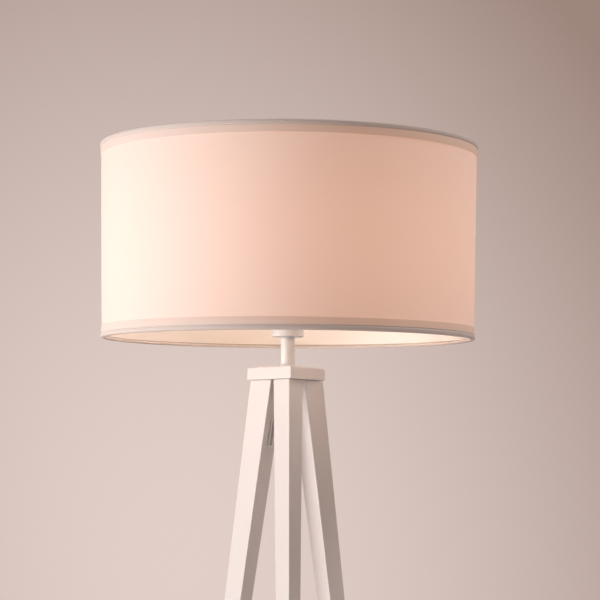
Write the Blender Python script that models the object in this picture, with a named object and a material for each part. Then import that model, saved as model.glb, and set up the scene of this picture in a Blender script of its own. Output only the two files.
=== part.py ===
"""Tripod floor lamp: tapered three-sided legs, triangular head block, stem, lampholder, bulb, drum shade.

Metres, +Z up. The origin is on the floor, on the lamp's axis. The front leg points along -Y.
"""

import math

import bmesh
import bpy
from mathutils import Matrix, Vector

# ---- driving dimensions ------------------------------------------------------------------------

GAP = 0.0003                    # between faces that touch on the real lamp

HEAD_HEIGHT = 1.2146            # floor to the underside of the head block

LEG_TOP_NOSE = 0.0579           # lamp axis to a leg's outer edge, at its top
LEG_TOP_BACK = 0.0143           # lamp axis to a leg's flat inner face, at its top
LEG_TOP_WIDTH = 0.0400          # width of the inner face at its top
LEG_FOOT_NOSE = 0.2116
LEG_FOOT_BACK = 0.2020
LEG_FOOT_WIDTH = 0.0140
LEG_EDGE = 0.0010               # rounding of a leg's long edges

PAD_THICKNESS = 0.0030
PAD_INSET = 0.0006              # pad edge inside the leg's foot, all round

BLOCK_SIDE = 0.1070             # side of the triangular head block
BLOCK_THICKNESS = 0.0163
BLOCK_TURN = math.radians(1.6)  # the block's set on the three legs
BLOCK_EDGE = 0.0012

PLATE_SIDE = 0.0810             # side of the cover plate on the block
PLATE_THICKNESS = 0.0010

BOLT_RADIUS_OUT = 0.0266        # lamp axis to a leg bolt's axis
BOLT_DIAMETER = 0.0060
BOLT_HEAD_DIAMETER = 0.0100
BOLT_HEAD_HEIGHT = 0.0045
BOLT_SOCKET_WIDTH = 0.0050      # hex socket across flats
BOLT_SOCKET_DEPTH = 0.0025
BOLT_GRIP = 0.0320              # bolt below the block's underside
WASHER_DIAMETER = 0.0124
WASHER_THICKNESS = 0.0012
COUNTERBORE_DIAMETER = 0.0140
COUNTERBORE_DEPTH = 0.0075
INSERT_DIAMETER = 0.0095
INSERT_LENGTH = 0.0200
INSERT_DEPTH = 0.0040           # leg's top to the insert's upper end
HOLE_CLEARANCE = 0.0004         # radial, round bolts, dowels and tubes

DOWEL_RADIUS_OUT = 0.0405       # lamp axis to a dowel's axis
DOWEL_DIAMETER = 0.0060
DOWEL_IN_BLOCK = 0.0095
DOWEL_IN_LEG = 0.0150

TUBE_DIAMETER = 0.0100          # hollow threaded tube that carries the wires
TUBE_BORE = 0.0070
TUBE_BELOW_BLOCK = 0.0120
TUBE_IN_CUP = 0.0075
NUT_ACROSS_FLATS = 0.0170
NUT_HEIGHT = 0.0050
LOCK_NUT_ACROSS_FLATS = 0.0140
LOCK_NUT_HEIGHT = 0.0030
TUBE_WASHER_DIAMETER = 0.0220
TUBE_WASHER_THICKNESS = 0.0015

STEM_DIAMETER = 0.0187
STEM_WALL = 0.0012
STEM_HEIGHT = 0.0400            # cover plate to the lampholder cup, collar and ring included
COLLAR_DIAMETER = 0.0206
COLLAR_HEIGHT = 0.0026
COLLAR_EDGE = 0.0006
SPACER_DIAMETER = 0.0172        # turned-down ring between the stem and the cup
SPACER_HEIGHT = 0.0016

CUP_SHOULDER = 0.0020           # cup's rim outside the sleeve
CUP_HEIGHT = 0.0145
CUP_WALL = 0.0024
CUP_FLOOR = 0.0018
CUP_EDGE = 0.0012

SLEEVE_DIAMETER = 0.0385        # threaded outside of the lampholder
SLEEVE_HEIGHT = 0.0330
SLEEVE_WALL = 0.0022
THREAD_PITCH = 0.0040
THREAD_DEPTH = 0.0005
SHELL_DIAMETER = 0.0282         # screw shell that takes the bulb's cap
SHELL_WALL = 0.0006
SHELL_HEIGHT = 0.0200
INSULATOR_HEIGHT = 0.0070
INSULATOR_RIM = 0.0020          # lip that centres the shell
CONTACT_WIDTH = 0.0060
CONTACT_LENGTH = 0.0150
CONTACT_THICKNESS = 0.0006
CONTACT_RISE = 0.0026
CONTACT_RUN = ((-0.50, 0.0), (-0.25, 0.0), (-0.06, 1.0), (0.17, 1.0))   # share of length, share of rise
TERMINAL_SIZE = (0.0060, 0.0050, 0.0050)
TERMINAL_OFFSET = 0.0090        # lamp axis to a terminal's middle
TERMINAL_SCREW = 0.0026

RING_WIDTH = 0.00775            # shade retaining ring outside the sleeve
RING_HEIGHT = 0.0090
RING_WEB = 0.0030               # height of its wide foot
RING_SLOPE = 0.0006
RING_GRIPS = 24
RING_GRIP_DEPTH = 0.0010

SHADE_DIAMETER = 0.5000
SHADE_HEIGHT = 0.2620
SHADE_DROP = 0.0039             # the shade's lower rim below the cup's underside
FABRIC = 0.0006
LINER = 0.0006
TAPE = 0.0006
TAPE_BAND = 0.0165              # height of the tape on the outside
TAPE_TUCK = 0.0024              # height of the tape on the inside
HOOP_WIRE = 0.0030
ARM_WIRE = 0.0032
ARM_COUNT = 3
ARM_TURN = math.radians(-3.3)   # the spider's turn on the lampholder
ARM_WELD = 0.0008               # an arm's bite into the hoop and the hub
HUB_WIDTH = 0.00675             # hub outside the sleeve
HUB_THICKNESS = 0.0020
HUB_CLEARANCE = 0.0006

BULB_CAP_DIAMETER = 0.0260
BULB_CAP_HEIGHT = 0.0230
BULB_CAP_WALL = 0.0008
BULB_CAP_CONE = 0.0045          # height of the cone at the cap's lower end
BULB_TIP_DIAMETER = 0.0110
BULB_TIP_HEIGHT = 0.0026
BULB_BODY_DIAMETER = 0.0560
BULB_BODY_HEIGHT = 0.0400
BULB_BODY_FLARE = ((0.25, 0.10), (0.72, 0.74))   # share of height, share of the widening
BULB_GLOBE_DIAMETER = 0.0600
BULB_GLOBE_WALL = 0.0012
BULB_BOARD_DIAMETER = 0.0440
BULB_BOARD_THICKNESS = 0.0016

SLOT_DROP = 0.0695              # block's underside to the middle of the cable slot
SLOT_LENGTH = 0.0400
SLOT_WIDTH = 0.0100
SLOT_DEPTH = 0.0130
SLOT_OFFSET = -0.0020           # towards the front leg's side of the inner face
GROMMET_LIP = 0.0012            # lip's width outside the slot
GROMMET_PROUD = 0.0022          # lip's height above the wood
GROMMET_WALL = 0.0014
GROMMET_SLEEVE = 0.0070
CABLE_BORE = 0.0066
CABLE_EXIT_HEIGHT = 0.2200      # floor to the cable's way out of the leg

ROUND = 16                      # sides of small round pieces
HOLDER_ROUND = 24               # sides of the stem, the lampholder and the bulb
DRUM_ROUND = 64                 # sides of the shade
BORE_ROUND = 12                 # sides of small drilled holes
ARM_ROUND = 8
WIRE_ROUND = 6

# ---- sizes and places that follow from the dimensions ------------------------------------------

CUP_DIAMETER = SLEEVE_DIAMETER + 2 * CUP_SHOULDER
HUB_DIAMETER = SLEEVE_DIAMETER + 2 * HUB_WIDTH
RING_DIAMETER = SLEEVE_DIAMETER + 2 * RING_WIDTH
LEG_TOP_Z = HEAD_HEIGHT - GAP
LEG_FOOT_Z = PAD_THICKNESS + GAP
BLOCK_TOP_Z = HEAD_HEIGHT + BLOCK_THICKNESS
PLATE_Z = BLOCK_TOP_Z + GAP
PLATE_TOP_Z = PLATE_Z + PLATE_THICKNESS
COLLAR_Z = PLATE_TOP_Z + GAP
STEM_Z = COLLAR_Z + COLLAR_HEIGHT + GAP
CUP_Z = PLATE_TOP_Z + STEM_HEIGHT
SPACER_Z = CUP_Z - GAP - SPACER_HEIGHT
CUP_TOP_Z = CUP_Z + CUP_HEIGHT
SLEEVE_Z = CUP_TOP_Z + GAP
SLEEVE_BORE_RADIUS = SLEEVE_DIAMETER / 2 - SLEEVE_WALL
INSULATOR_Z = SLEEVE_Z + GAP
INSULATOR_TOP_Z = INSULATOR_Z + INSULATOR_HEIGHT
SHELL_Z = INSULATOR_TOP_Z + GAP
HUB_Z = SLEEVE_Z + HUB_THICKNESS / 2
RING_Z = SLEEVE_Z + HUB_THICKNESS + GAP
RIM_Z = CUP_Z - SHADE_DROP
SHADE_TOP_Z = RIM_Z + SHADE_HEIGHT
CONTACT_Z = INSULATOR_TOP_Z + GAP
BULB_TIP_Z = CONTACT_Z + CONTACT_THICKNESS + CONTACT_RISE + GAP
BULB_CAP_Z = BULB_TIP_Z + BULB_TIP_HEIGHT + GAP
BULB_BODY_Z = BULB_CAP_Z + BULB_CAP_HEIGHT + GAP
BULB_BODY_TOP_Z = BULB_BODY_Z + BULB_BODY_HEIGHT
LEG_ANGLES = {"front": -math.pi / 2, "right": math.pi / 6, "left": 5 * math.pi / 6}


# ---- modelling helpers -------------------------------------------------------------------------

def clear_scene():
    for obj in list(bpy.data.objects):
        bpy.data.objects.remove(obj)


def make_material(name, colour, roughness, metallic=0.0):
    material = bpy.data.materials.new(name)
    material.use_nodes = True
    shader = material.node_tree.nodes["Principled BSDF"]
    shader.inputs["Base Color"].default_value = (*colour, 1.0)
    shader.inputs["Roughness"].default_value = roughness
    shader.inputs["Metallic"].default_value = metallic
    return material


def add_object(name, bm, material, smooth=True):
    bmesh.ops.recalc_face_normals(bm, faces=bm.faces[:])
    mesh = bpy.data.meshes.new(name)
    bm.to_mesh(mesh)
    bm.free()
    if smooth:
        mesh.shade_smooth()
        mesh.set_sharp_from_angle(angle=math.radians(35))
    mesh.materials.append(material)
    obj = bpy.data.objects.new(name, mesh)
    bpy.context.scene.collection.objects.link(obj)
    return obj


def as_cutter(obj):
    obj.hide_render = True
    obj.display_type = "WIRE"
    return obj


def add_boolean(obj, cutter, operation="DIFFERENCE"):
    modifier = obj.modifiers.new(cutter.name, "BOOLEAN")
    modifier.operation = operation
    modifier.object = as_cutter(cutter)


def add_bevel(obj, width, segments=2):
    modifier = obj.modifiers.new("eased_edges", "BEVEL")
    modifier.width = width
    modifier.segments = segments
    modifier.limit_method = "ANGLE"
    modifier.angle_limit = math.radians(35)


def ring_points(radius, sides, z, turn=0.0):
    return [Vector((radius * math.cos(turn + math.tau * i / sides),
                    radius * math.sin(turn + math.tau * i / sides), z)) for i in range(sides)]


def add_turned(name, profile, material, sides=ROUND, turn=0.0):
    """Turn a closed outline of (radius, height) points about the lamp's axis."""
    bm = bmesh.new()
    rings = []
    for radius, z in profile:
        if radius == 0.0:
            rings.append([bm.verts.new((0.0, 0.0, z))] * sides)
        else:
            rings.append([bm.verts.new(point) for point in ring_points(radius, sides, z, turn)])
    for ring, following in zip(rings, rings[1:] + rings[:1]):
        for i in range(sides):
            j = (i + 1) % sides
            corners = list(dict.fromkeys([ring[i], ring[j], following[j], following[i]]))
            if len(corners) > 2:
                bm.faces.new(corners)
    return add_object(name, bm, material)


def add_prism(name, outline, z_low, z_high, material, smooth=False):
    """Extrude a closed outline of (x, y) points from one height to another."""
    return add_loft(name, outline, outline, z_low, z_high, material, smooth)


def add_loft(name, low_outline, high_outline, z_low, z_high, material, smooth=False):
    bm = bmesh.new()
    low = [bm.verts.new((x, y, z_low)) for x, y in low_outline]
    high = [bm.verts.new((x, y, z_high)) for x, y in high_outline]
    bm.faces.new(low)
    bm.faces.new(high)
    for i in range(len(low)):
        j = (i + 1) % len(low)
        bm.faces.new((low[i], low[j], high[j], high[i]))
    return add_object(name, bm, material, smooth)


def add_rod(name, start, end, diameter, material, sides=ROUND):
    start = Vector(start)
    end = Vector(end)
    bm = bmesh.new()
    turn = (end - start).to_track_quat("Z", "Y").to_matrix().to_4x4()
    bmesh.ops.create_cone(bm, cap_ends=True, segments=sides, radius1=diameter / 2, radius2=diameter / 2,
                          depth=(end - start).length, matrix=Matrix.Translation((start + end) / 2) @ turn)
    return add_object(name, bm, material)


def disc_profile(radius, z_low, z_high):
    return [(0.0, z_low), (radius, z_low), (radius, z_high), (0.0, z_high)]


def ring_profile(inner, outer, z_low, z_high):
    return [(inner, z_low), (outer, z_low), (outer, z_high), (inner, z_high)]


def wire_profile(radius, z, wire, sides=WIRE_ROUND):
    angles = [math.pi / 2 + math.tau * i / sides for i in range(sides)]
    return [(radius + wire / 2 * math.cos(a), z + wire / 2 * math.sin(a)) for a in angles]


def polar(radius, angle):
    return Vector((radius * math.cos(angle), radius * math.sin(angle), 0.0))


def place(obj, x=0.0, y=0.0, z=0.0):
    obj.location = (x, y, z)
    return obj


def hexagon(across_flats):
    return [tuple(point.xy) for point in ring_points(across_flats / math.sqrt(3), 6, 0.0)]


# ---- legs and feet -----------------------------------------------------------------------------

def leg_section(nose, back, width, angle, inset=0.0):
    """Three corners of a leg's level section: outer edge, then the two ends of the inner face."""
    depth = nose - back
    slant = math.hypot(depth, width / 2)
    nose_in = inset * slant / (width / 2)
    side_in = inset * (slant + width / 2) / depth
    corners = [(nose - nose_in, 0.0), (back + inset, width / 2 - side_in), (back + inset, side_in - width / 2)]
    cos_a = math.cos(angle)
    sin_a = math.sin(angle)
    return [(x * cos_a - y * sin_a, x * sin_a + y * cos_a) for x, y in corners]


def leg_back_at(z):
    """Distance from the lamp's axis to a leg's inner face, at a height."""
    share = (LEG_TOP_Z - z) / (LEG_TOP_Z - LEG_FOOT_Z)
    return LEG_TOP_BACK + share * (LEG_FOOT_BACK - LEG_TOP_BACK)


def leg_nose_at(z):
    share = (LEG_TOP_Z - z) / (LEG_TOP_Z - LEG_FOOT_Z)
    return LEG_TOP_NOSE + share * (LEG_FOOT_NOSE - LEG_TOP_NOSE)


def leg_width_at(z):
    share = (LEG_TOP_Z - z) / (LEG_TOP_Z - LEG_FOOT_Z)
    return LEG_TOP_WIDTH + share * (LEG_FOOT_WIDTH - LEG_TOP_WIDTH)


def leg_heart_at(z):
    """Distance from the lamp's axis to the middle of the largest circle in a leg's section."""
    depth = leg_nose_at(z) - leg_back_at(z)
    half = leg_width_at(z) / 2
    slant = math.hypot(depth, half)
    return leg_back_at(z) + half * depth / (half + slant)


def add_leg(side, angle, wood, cutter_look):
    leg = add_loft(f"leg_{side}", leg_section(LEG_FOOT_NOSE, LEG_FOOT_BACK, LEG_FOOT_WIDTH, angle),
                   leg_section(LEG_TOP_NOSE, LEG_TOP_BACK, LEG_TOP_WIDTH, angle),
                   LEG_FOOT_Z, LEG_TOP_Z, wood)
    add_bevel(leg, LEG_EDGE)
    bolt_at = polar(BOLT_RADIUS_OUT, angle)
    well_depth = BOLT_GRIP + INSERT_DEPTH
    bolt_well = add_rod(f"cut_bolt_well_{side}", bolt_at + Vector((0, 0, LEG_TOP_Z - well_depth)),
                        bolt_at + Vector((0, 0, LEG_TOP_Z + INSERT_DEPTH)),
                        INSERT_DIAMETER + 2 * GAP, cutter_look)
    add_boolean(leg, bolt_well)
    dowel_at = polar(DOWEL_RADIUS_OUT, angle)
    dowel_well = add_rod(f"cut_dowel_well_{side}", dowel_at + Vector((0, 0, LEG_TOP_Z - DOWEL_IN_LEG)),
                         dowel_at + Vector((0, 0, LEG_TOP_Z + DOWEL_IN_LEG)),
                         DOWEL_DIAMETER + 2 * GAP, cutter_look)
    add_boolean(leg, dowel_well)
    return leg


def add_foot_pad(side, angle, rubber):
    outline = leg_section(LEG_FOOT_NOSE, LEG_FOOT_BACK, LEG_FOOT_WIDTH, angle, PAD_INSET)
    return add_prism(f"foot_pad_{side}", outline, 0.0, PAD_THICKNESS, rubber)


def slot_frame(angle):
    """Axes of the cable slot: out of the wood, along the leg, and across; and the middle of its mouth."""
    z = HEAD_HEIGHT - SLOT_DROP
    high = polar(leg_back_at(LEG_TOP_Z), angle) + Vector((0, 0, LEG_TOP_Z))
    low = polar(leg_back_at(LEG_FOOT_Z), angle) + Vector((0, 0, LEG_FOOT_Z))
    along = (high - low).normalized()
    across = Vector((0, 0, 1)).cross(polar(1.0, angle)).normalized()
    outward = across.cross(along).normalized()
    if outward.dot(polar(1.0, angle)) > 0:
        outward = -outward
    middle = polar(leg_back_at(z), angle) + Vector((0, 0, z)) + across * SLOT_OFFSET
    return middle, outward, along, across


def slot_rings(angle, levels, arc_steps=6):
    """Stack of round-ended outlines: each level is (height above the wood, half width)."""
    middle, outward, along, across = slot_frame(angle)
    half_run = (SLOT_LENGTH - SLOT_WIDTH) / 2
    bm = bmesh.new()
    rings = []
    for height, half_width in levels:
        ring = []
        for end in (1, -1):
            for step in range(arc_steps + 1):
                turn = math.pi * step / arc_steps
                run = end * (half_run + half_width * math.sin(turn))
                reach = end * half_width * math.cos(turn)
                ring.append(bm.verts.new(middle + outward * height + along * run + across * reach))
        rings.append(ring)
    for ring, following in zip(rings, rings[1:]):
        for i in range(len(ring)):
            j = (i + 1) % len(ring)
            bm.faces.new((ring[i], ring[j], following[j], following[i]))
    return bm, rings


def add_slot_cutter(angle, cutter_look):
    half = SLOT_WIDTH / 2 + GAP
    bm, rings = slot_rings(angle, [(-SLOT_DEPTH, half), (SLOT_DEPTH, half)])
    bm.faces.new(rings[0])
    bm.faces.new(rings[-1])
    return add_object("cut_cable_slot", bm, cutter_look, smooth=False)


def add_grommet(angle, plastic):
    """Round-ended eyelet: a sleeve in the slot and a rounded lip on the wood."""
    outer = SLOT_WIDTH / 2
    inner = outer - GROMMET_WALL
    lip = outer + GROMMET_LIP
    half_proud = GROMMET_PROUD / 2
    levels = [(-GROMMET_SLEEVE, outer), (GAP, outer), (GAP, lip), (half_proud, lip),
              (GROMMET_PROUD, lip - half_proud), (GROMMET_PROUD, inner + half_proud),
              (half_proud, inner), (-GROMMET_SLEEVE, inner)]
    bm, rings = slot_rings(angle, levels)
    first = rings[0]
    last = rings[-1]
    for i in range(len(first)):
        j = (i + 1) % len(first)
        bm.faces.new((last[i], last[j], first[j], first[i]))
    return add_object("cable_grommet", bm, plastic)


def cut_cable_way(leg, angle, cutter_look):
    """Slot in the inner face, a bore down the middle of the leg, and a way out near the floor."""
    add_boolean(leg, add_slot_cutter(angle, cutter_look))
    middle, outward, _, _ = slot_frame(angle)
    start = middle - outward * (SLOT_DEPTH - CABLE_BORE / 2)
    end = polar(leg_heart_at(CABLE_EXIT_HEIGHT), angle) + Vector((0, 0, CABLE_EXIT_HEIGHT))
    add_boolean(leg, add_rod("cut_cable_bore", start, end, CABLE_BORE, cutter_look, sides=BORE_ROUND))
    mouth = polar(leg_back_at(CABLE_EXIT_HEIGHT) - CABLE_BORE, angle) + Vector((0, 0, CABLE_EXIT_HEIGHT))
    add_boolean(leg, add_rod("cut_cable_exit", end, mouth, CABLE_BORE, cutter_look, sides=BORE_ROUND))


# ---- head --------------------------------------------------------------------------------------

def triangle(side):
    """Three corners, one over each leg, with the head's small turn."""
    radius = side / math.sqrt(3)
    return [tuple(polar(radius, angle + BLOCK_TURN).xy) for angle in LEG_ANGLES.values()]


def add_head_block(paint, cutter_look):
    block = add_prism("head_block", triangle(BLOCK_SIDE), HEAD_HEIGHT, BLOCK_TOP_Z, paint)
    add_bevel(block, BLOCK_EDGE)
    through = BLOCK_THICKNESS / 2
    bore = add_rod("cut_tube_bore", (0, 0, HEAD_HEIGHT - through), (0, 0, BLOCK_TOP_Z + through),
                   TUBE_DIAMETER + 2 * HOLE_CLEARANCE, cutter_look)
    add_boolean(block, bore)
    head_floor = BLOCK_TOP_Z - COUNTERBORE_DEPTH
    hole = BOLT_DIAMETER / 2 + HOLE_CLEARANCE
    well = COUNTERBORE_DIAMETER / 2
    for side, angle in LEG_ANGLES.items():
        stepped = add_turned(f"cut_bolt_hole_{side}",
                             [(0.0, HEAD_HEIGHT - through), (hole, HEAD_HEIGHT - through), (hole, head_floor),
                              (well, head_floor), (well, BLOCK_TOP_Z + through), (0.0, BLOCK_TOP_Z + through)],
                             cutter_look)
        add_boolean(block, place(stepped, *polar(BOLT_RADIUS_OUT, angle).xy))
        dowel_at = polar(DOWEL_RADIUS_OUT, angle)
        add_boolean(block, add_rod(f"cut_dowel_hole_{side}", dowel_at + Vector((0, 0, HEAD_HEIGHT - through)),
                                   dowel_at + Vector((0, 0, HEAD_HEIGHT + DOWEL_IN_BLOCK)),
                                   DOWEL_DIAMETER + 2 * GAP, cutter_look))
    return block


def add_cover_plate(paint, cutter_look):
    plate = add_prism("head_cover_plate", triangle(PLATE_SIDE), PLATE_Z, PLATE_TOP_Z, paint)
    add_bevel(plate, PLATE_THICKNESS / 4)
    add_boolean(plate, add_rod("cut_plate_bore", (0, 0, PLATE_Z - PLATE_THICKNESS),
                               (0, 0, PLATE_TOP_Z + PLATE_THICKNESS),
                               TUBE_DIAMETER + 2 * HOLE_CLEARANCE, cutter_look))
    return plate


def add_leg_fasteners(side, angle, steel, brass, beech, cutter_look):
    x, y, _ = polar(BOLT_RADIUS_OUT, angle)
    washer_z = BLOCK_TOP_Z - COUNTERBORE_DEPTH + GAP
    washer = add_turned(f"bolt_washer_{side}",
                        ring_profile(BOLT_DIAMETER / 2 + HOLE_CLEARANCE, WASHER_DIAMETER / 2,
                                     0.0, WASHER_THICKNESS), steel)
    place(washer, x, y, washer_z)
    head_z = washer_z + WASHER_THICKNESS + GAP
    tip_z = HEAD_HEIGHT - BOLT_GRIP
    shank = BOLT_DIAMETER / 2
    cap = BOLT_HEAD_DIAMETER / 2
    rounding = BOLT_HEAD_HEIGHT / 8
    bolt = add_turned(f"leg_bolt_{side}",
                      [(0.0, tip_z - head_z), (shank * 0.7, tip_z - head_z),
                       (shank, tip_z - head_z + shank * 0.3), (shank, 0.0), (cap, 0.0),
                       (cap, BOLT_HEAD_HEIGHT - rounding), (cap - rounding, BOLT_HEAD_HEIGHT),
                       (0.0, BOLT_HEAD_HEIGHT)], steel)
    place(bolt, x, y, head_z)
    socket = add_prism(f"cut_socket_{side}", hexagon(BOLT_SOCKET_WIDTH),
                       BOLT_HEAD_HEIGHT - BOLT_SOCKET_DEPTH, 2 * BOLT_HEAD_HEIGHT, cutter_look)
    place(socket, x, y, head_z)
    add_boolean(bolt, socket)
    insert = add_turned(f"leg_insert_{side}",
                        ring_profile(BOLT_DIAMETER / 2 + GAP, INSERT_DIAMETER / 2, 0.0, INSERT_LENGTH), brass)
    place(insert, x, y, LEG_TOP_Z - INSERT_DEPTH - INSERT_LENGTH)
    peg = DOWEL_DIAMETER / 2
    low = LEG_TOP_Z - DOWEL_IN_LEG + GAP
    high = HEAD_HEIGHT + DOWEL_IN_BLOCK - GAP
    chamfer = peg / 4
    dowel = add_turned(f"leg_dowel_{side}",
                       [(0.0, low), (peg - chamfer, low), (peg, low + chamfer), (peg, high - chamfer),
                        (peg - chamfer, high), (0.0, high)], beech)
    place(dowel, *polar(DOWEL_RADIUS_OUT, angle).xy)


def add_nut(name, across_flats, z_low, z_high, steel, cutter_look):
    nut = add_prism(name, hexagon(across_flats), z_low, z_high, steel)
    height = z_high - z_low
    add_boolean(nut, add_rod(f"cut_{name}", (0, 0, z_low - height), (0, 0, z_high + height),
                             TUBE_DIAMETER + 2 * GAP, cutter_look))
    return nut


def add_centre_tube(steel, cutter_look):
    washer_top = HEAD_HEIGHT - GAP
    washer_low = washer_top - TUBE_WASHER_THICKNESS
    add_turned("tube_washer", ring_profile(TUBE_DIAMETER / 2 + HOLE_CLEARANCE, TUBE_WASHER_DIAMETER / 2,
                                           washer_low, washer_top), steel)
    add_nut("tube_nut", NUT_ACROSS_FLATS, washer_low - GAP - NUT_HEIGHT, washer_low - GAP, steel, cutter_look)
    add_turned("threaded_tube", ring_profile(TUBE_BORE / 2, TUBE_DIAMETER / 2,
                                             HEAD_HEIGHT - TUBE_BELOW_BLOCK,
                                             CUP_Z + TUBE_IN_CUP), steel)


# ---- stem and lampholder -----------------------------------------------------------------------

def add_stem(paint):
    bore = TUBE_DIAMETER / 2 + HOLE_CLEARANCE
    outer = COLLAR_DIAMETER / 2
    add_turned("stem_collar", [(bore, COLLAR_Z), (outer, COLLAR_Z),
                               (outer, COLLAR_Z + COLLAR_HEIGHT - COLLAR_EDGE),
                               (outer - COLLAR_EDGE, COLLAR_Z + COLLAR_HEIGHT),
                               (bore, COLLAR_Z + COLLAR_HEIGHT)], paint, sides=HOLDER_ROUND)
    add_turned("stem_tube", ring_profile(STEM_DIAMETER / 2 - STEM_WALL, STEM_DIAMETER / 2,
                                         STEM_Z, SPACER_Z - GAP), paint, sides=HOLDER_ROUND)
    add_turned("stem_spacer", ring_profile(bore, SPACER_DIAMETER / 2, SPACER_Z, SPACER_Z + SPACER_HEIGHT),
               paint, sides=HOLDER_ROUND)


def add_cup(plastic, steel, cutter_look):
    outer = CUP_DIAMETER / 2
    hole = TUBE_DIAMETER / 2 + HOLE_CLEARANCE
    inner = outer - CUP_WALL
    add_turned("lampholder_cup", [(hole, CUP_Z), (outer - CUP_EDGE, CUP_Z), (outer, CUP_Z + CUP_EDGE),
                                  (outer, CUP_TOP_Z), (inner, CUP_TOP_Z), (inner, CUP_Z + CUP_FLOOR),
                                  (hole, CUP_Z + CUP_FLOOR)], plastic, sides=HOLDER_ROUND)
    nut_z = CUP_Z + CUP_FLOOR + GAP
    add_nut("cup_lock_nut", LOCK_NUT_ACROSS_FLATS, nut_z, nut_z + LOCK_NUT_HEIGHT, steel, cutter_look)


def add_sleeve(plastic):
    """Outer sleeve with the thread's ridges above the hub."""
    crest = SLEEVE_DIAMETER / 2
    root = crest - THREAD_DEPTH
    bore = SLEEVE_BORE_RADIUS
    top = SLEEVE_Z + SLEEVE_HEIGHT
    plain = HUB_THICKNESS + THREAD_PITCH / 2
    ridges = int((SLEEVE_HEIGHT - plain) / THREAD_PITCH)
    profile = [(bore, SLEEVE_Z), (root, SLEEVE_Z)]
    for i in range(ridges):
        foot = SLEEVE_Z + plain + i * THREAD_PITCH
        profile.append((root, foot))
        profile.append((crest, foot + THREAD_PITCH / 2))
    profile.append((root, top))
    profile.append((bore, top))
    add_turned("lampholder_sleeve", profile, plastic, sides=HOLDER_ROUND)


def add_insulator(ceramic):
    rim = SHELL_DIAMETER / 2 + GAP
    outer = SLEEVE_BORE_RADIUS - GAP
    top = INSULATOR_TOP_Z + INSULATOR_RIM
    add_turned("lampholder_insulator", [(0.0, INSULATOR_Z), (outer, INSULATOR_Z), (outer, top), (rim, top),
                                        (rim, INSULATOR_TOP_Z), (0.0, INSULATOR_TOP_Z)],
               ceramic, sides=HOLDER_ROUND)


def add_contacts(brass, cutter_look):
    outer = SHELL_DIAMETER / 2
    add_turned("screw_shell", ring_profile(outer - SHELL_WALL, outer, SHELL_Z, SHELL_Z + SHELL_HEIGHT),
               brass, sides=HOLDER_ROUND)
    add_centre_contact(brass)
    for name, sign in (("live", 1), ("neutral", -1)):
        add_terminal(f"terminal_{name}", sign * TERMINAL_OFFSET, brass, cutter_look)


def add_centre_contact(brass):
    """Springy tongue: flat at its root, then rising to the lamp's axis, where the bulb's tip presses it."""
    bm = bmesh.new()
    rings = []
    for along, rise in CONTACT_RUN:
        x = along * CONTACT_LENGTH
        z = CONTACT_Z + rise * CONTACT_RISE
        rings.append([bm.verts.new((x, side * CONTACT_WIDTH / 2, z + lift))
                      for side, lift in ((-1, 0.0), (1, 0.0), (1, CONTACT_THICKNESS), (-1, CONTACT_THICKNESS))])
    for ring, following in zip(rings, rings[1:]):
        for i in range(4):
            j = (i + 1) % 4
            bm.faces.new((ring[i], ring[j], following[j], following[i]))
    bm.faces.new(rings[0])
    bm.faces.new(rings[-1])
    return add_object("centre_contact", bm, brass, smooth=False)


def add_terminal(name, x, brass, cutter_look):
    length, width, height = TERMINAL_SIZE
    z_high = INSULATOR_Z - GAP
    outline = [(x - length / 2, -width / 2), (x + length / 2, -width / 2),
               (x + length / 2, width / 2), (x - length / 2, width / 2)]
    block = add_prism(name, outline, z_high - height, z_high, brass)
    middle = z_high - height / 2
    add_boolean(block, add_rod(f"cut_{name}", (x, -width, middle), (x, width, middle),
                               TERMINAL_SCREW, cutter_look, sides=BORE_ROUND))
    return block


def add_retaining_ring(plastic):
    """Threaded ring with a scalloped grip: every other side of its rim stands proud."""
    bore = SLEEVE_DIAMETER / 2 + GAP
    crest = RING_DIAMETER / 2
    waist = (bore + crest) / 2
    sides = 2 * RING_GRIPS
    low = RING_Z
    high = RING_Z + RING_HEIGHT
    profile = [(bore, low), (crest, low), (crest, low + RING_WEB), (waist, low + RING_WEB + RING_SLOPE),
               (waist, high), (bore, high)]
    bm = bmesh.new()
    rings = []
    for radius, z in profile:
        ring = []
        for i, point in enumerate(ring_points(radius, sides, z)):
            if radius == crest and i % 2:
                point = Vector((point.x * (1 - RING_GRIP_DEPTH / crest),
                                point.y * (1 - RING_GRIP_DEPTH / crest), z))
            ring.append(bm.verts.new(point))
        rings.append(ring)
    for ring, following in zip(rings, rings[1:] + rings[:1]):
        for i in range(sides):
            j = (i + 1) % sides
            bm.faces.new((ring[i], ring[j], following[j], following[i]))
    return add_object("shade_retaining_ring", bm, plastic)


# ---- bulb --------------------------------------------------------------------------------------

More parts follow.
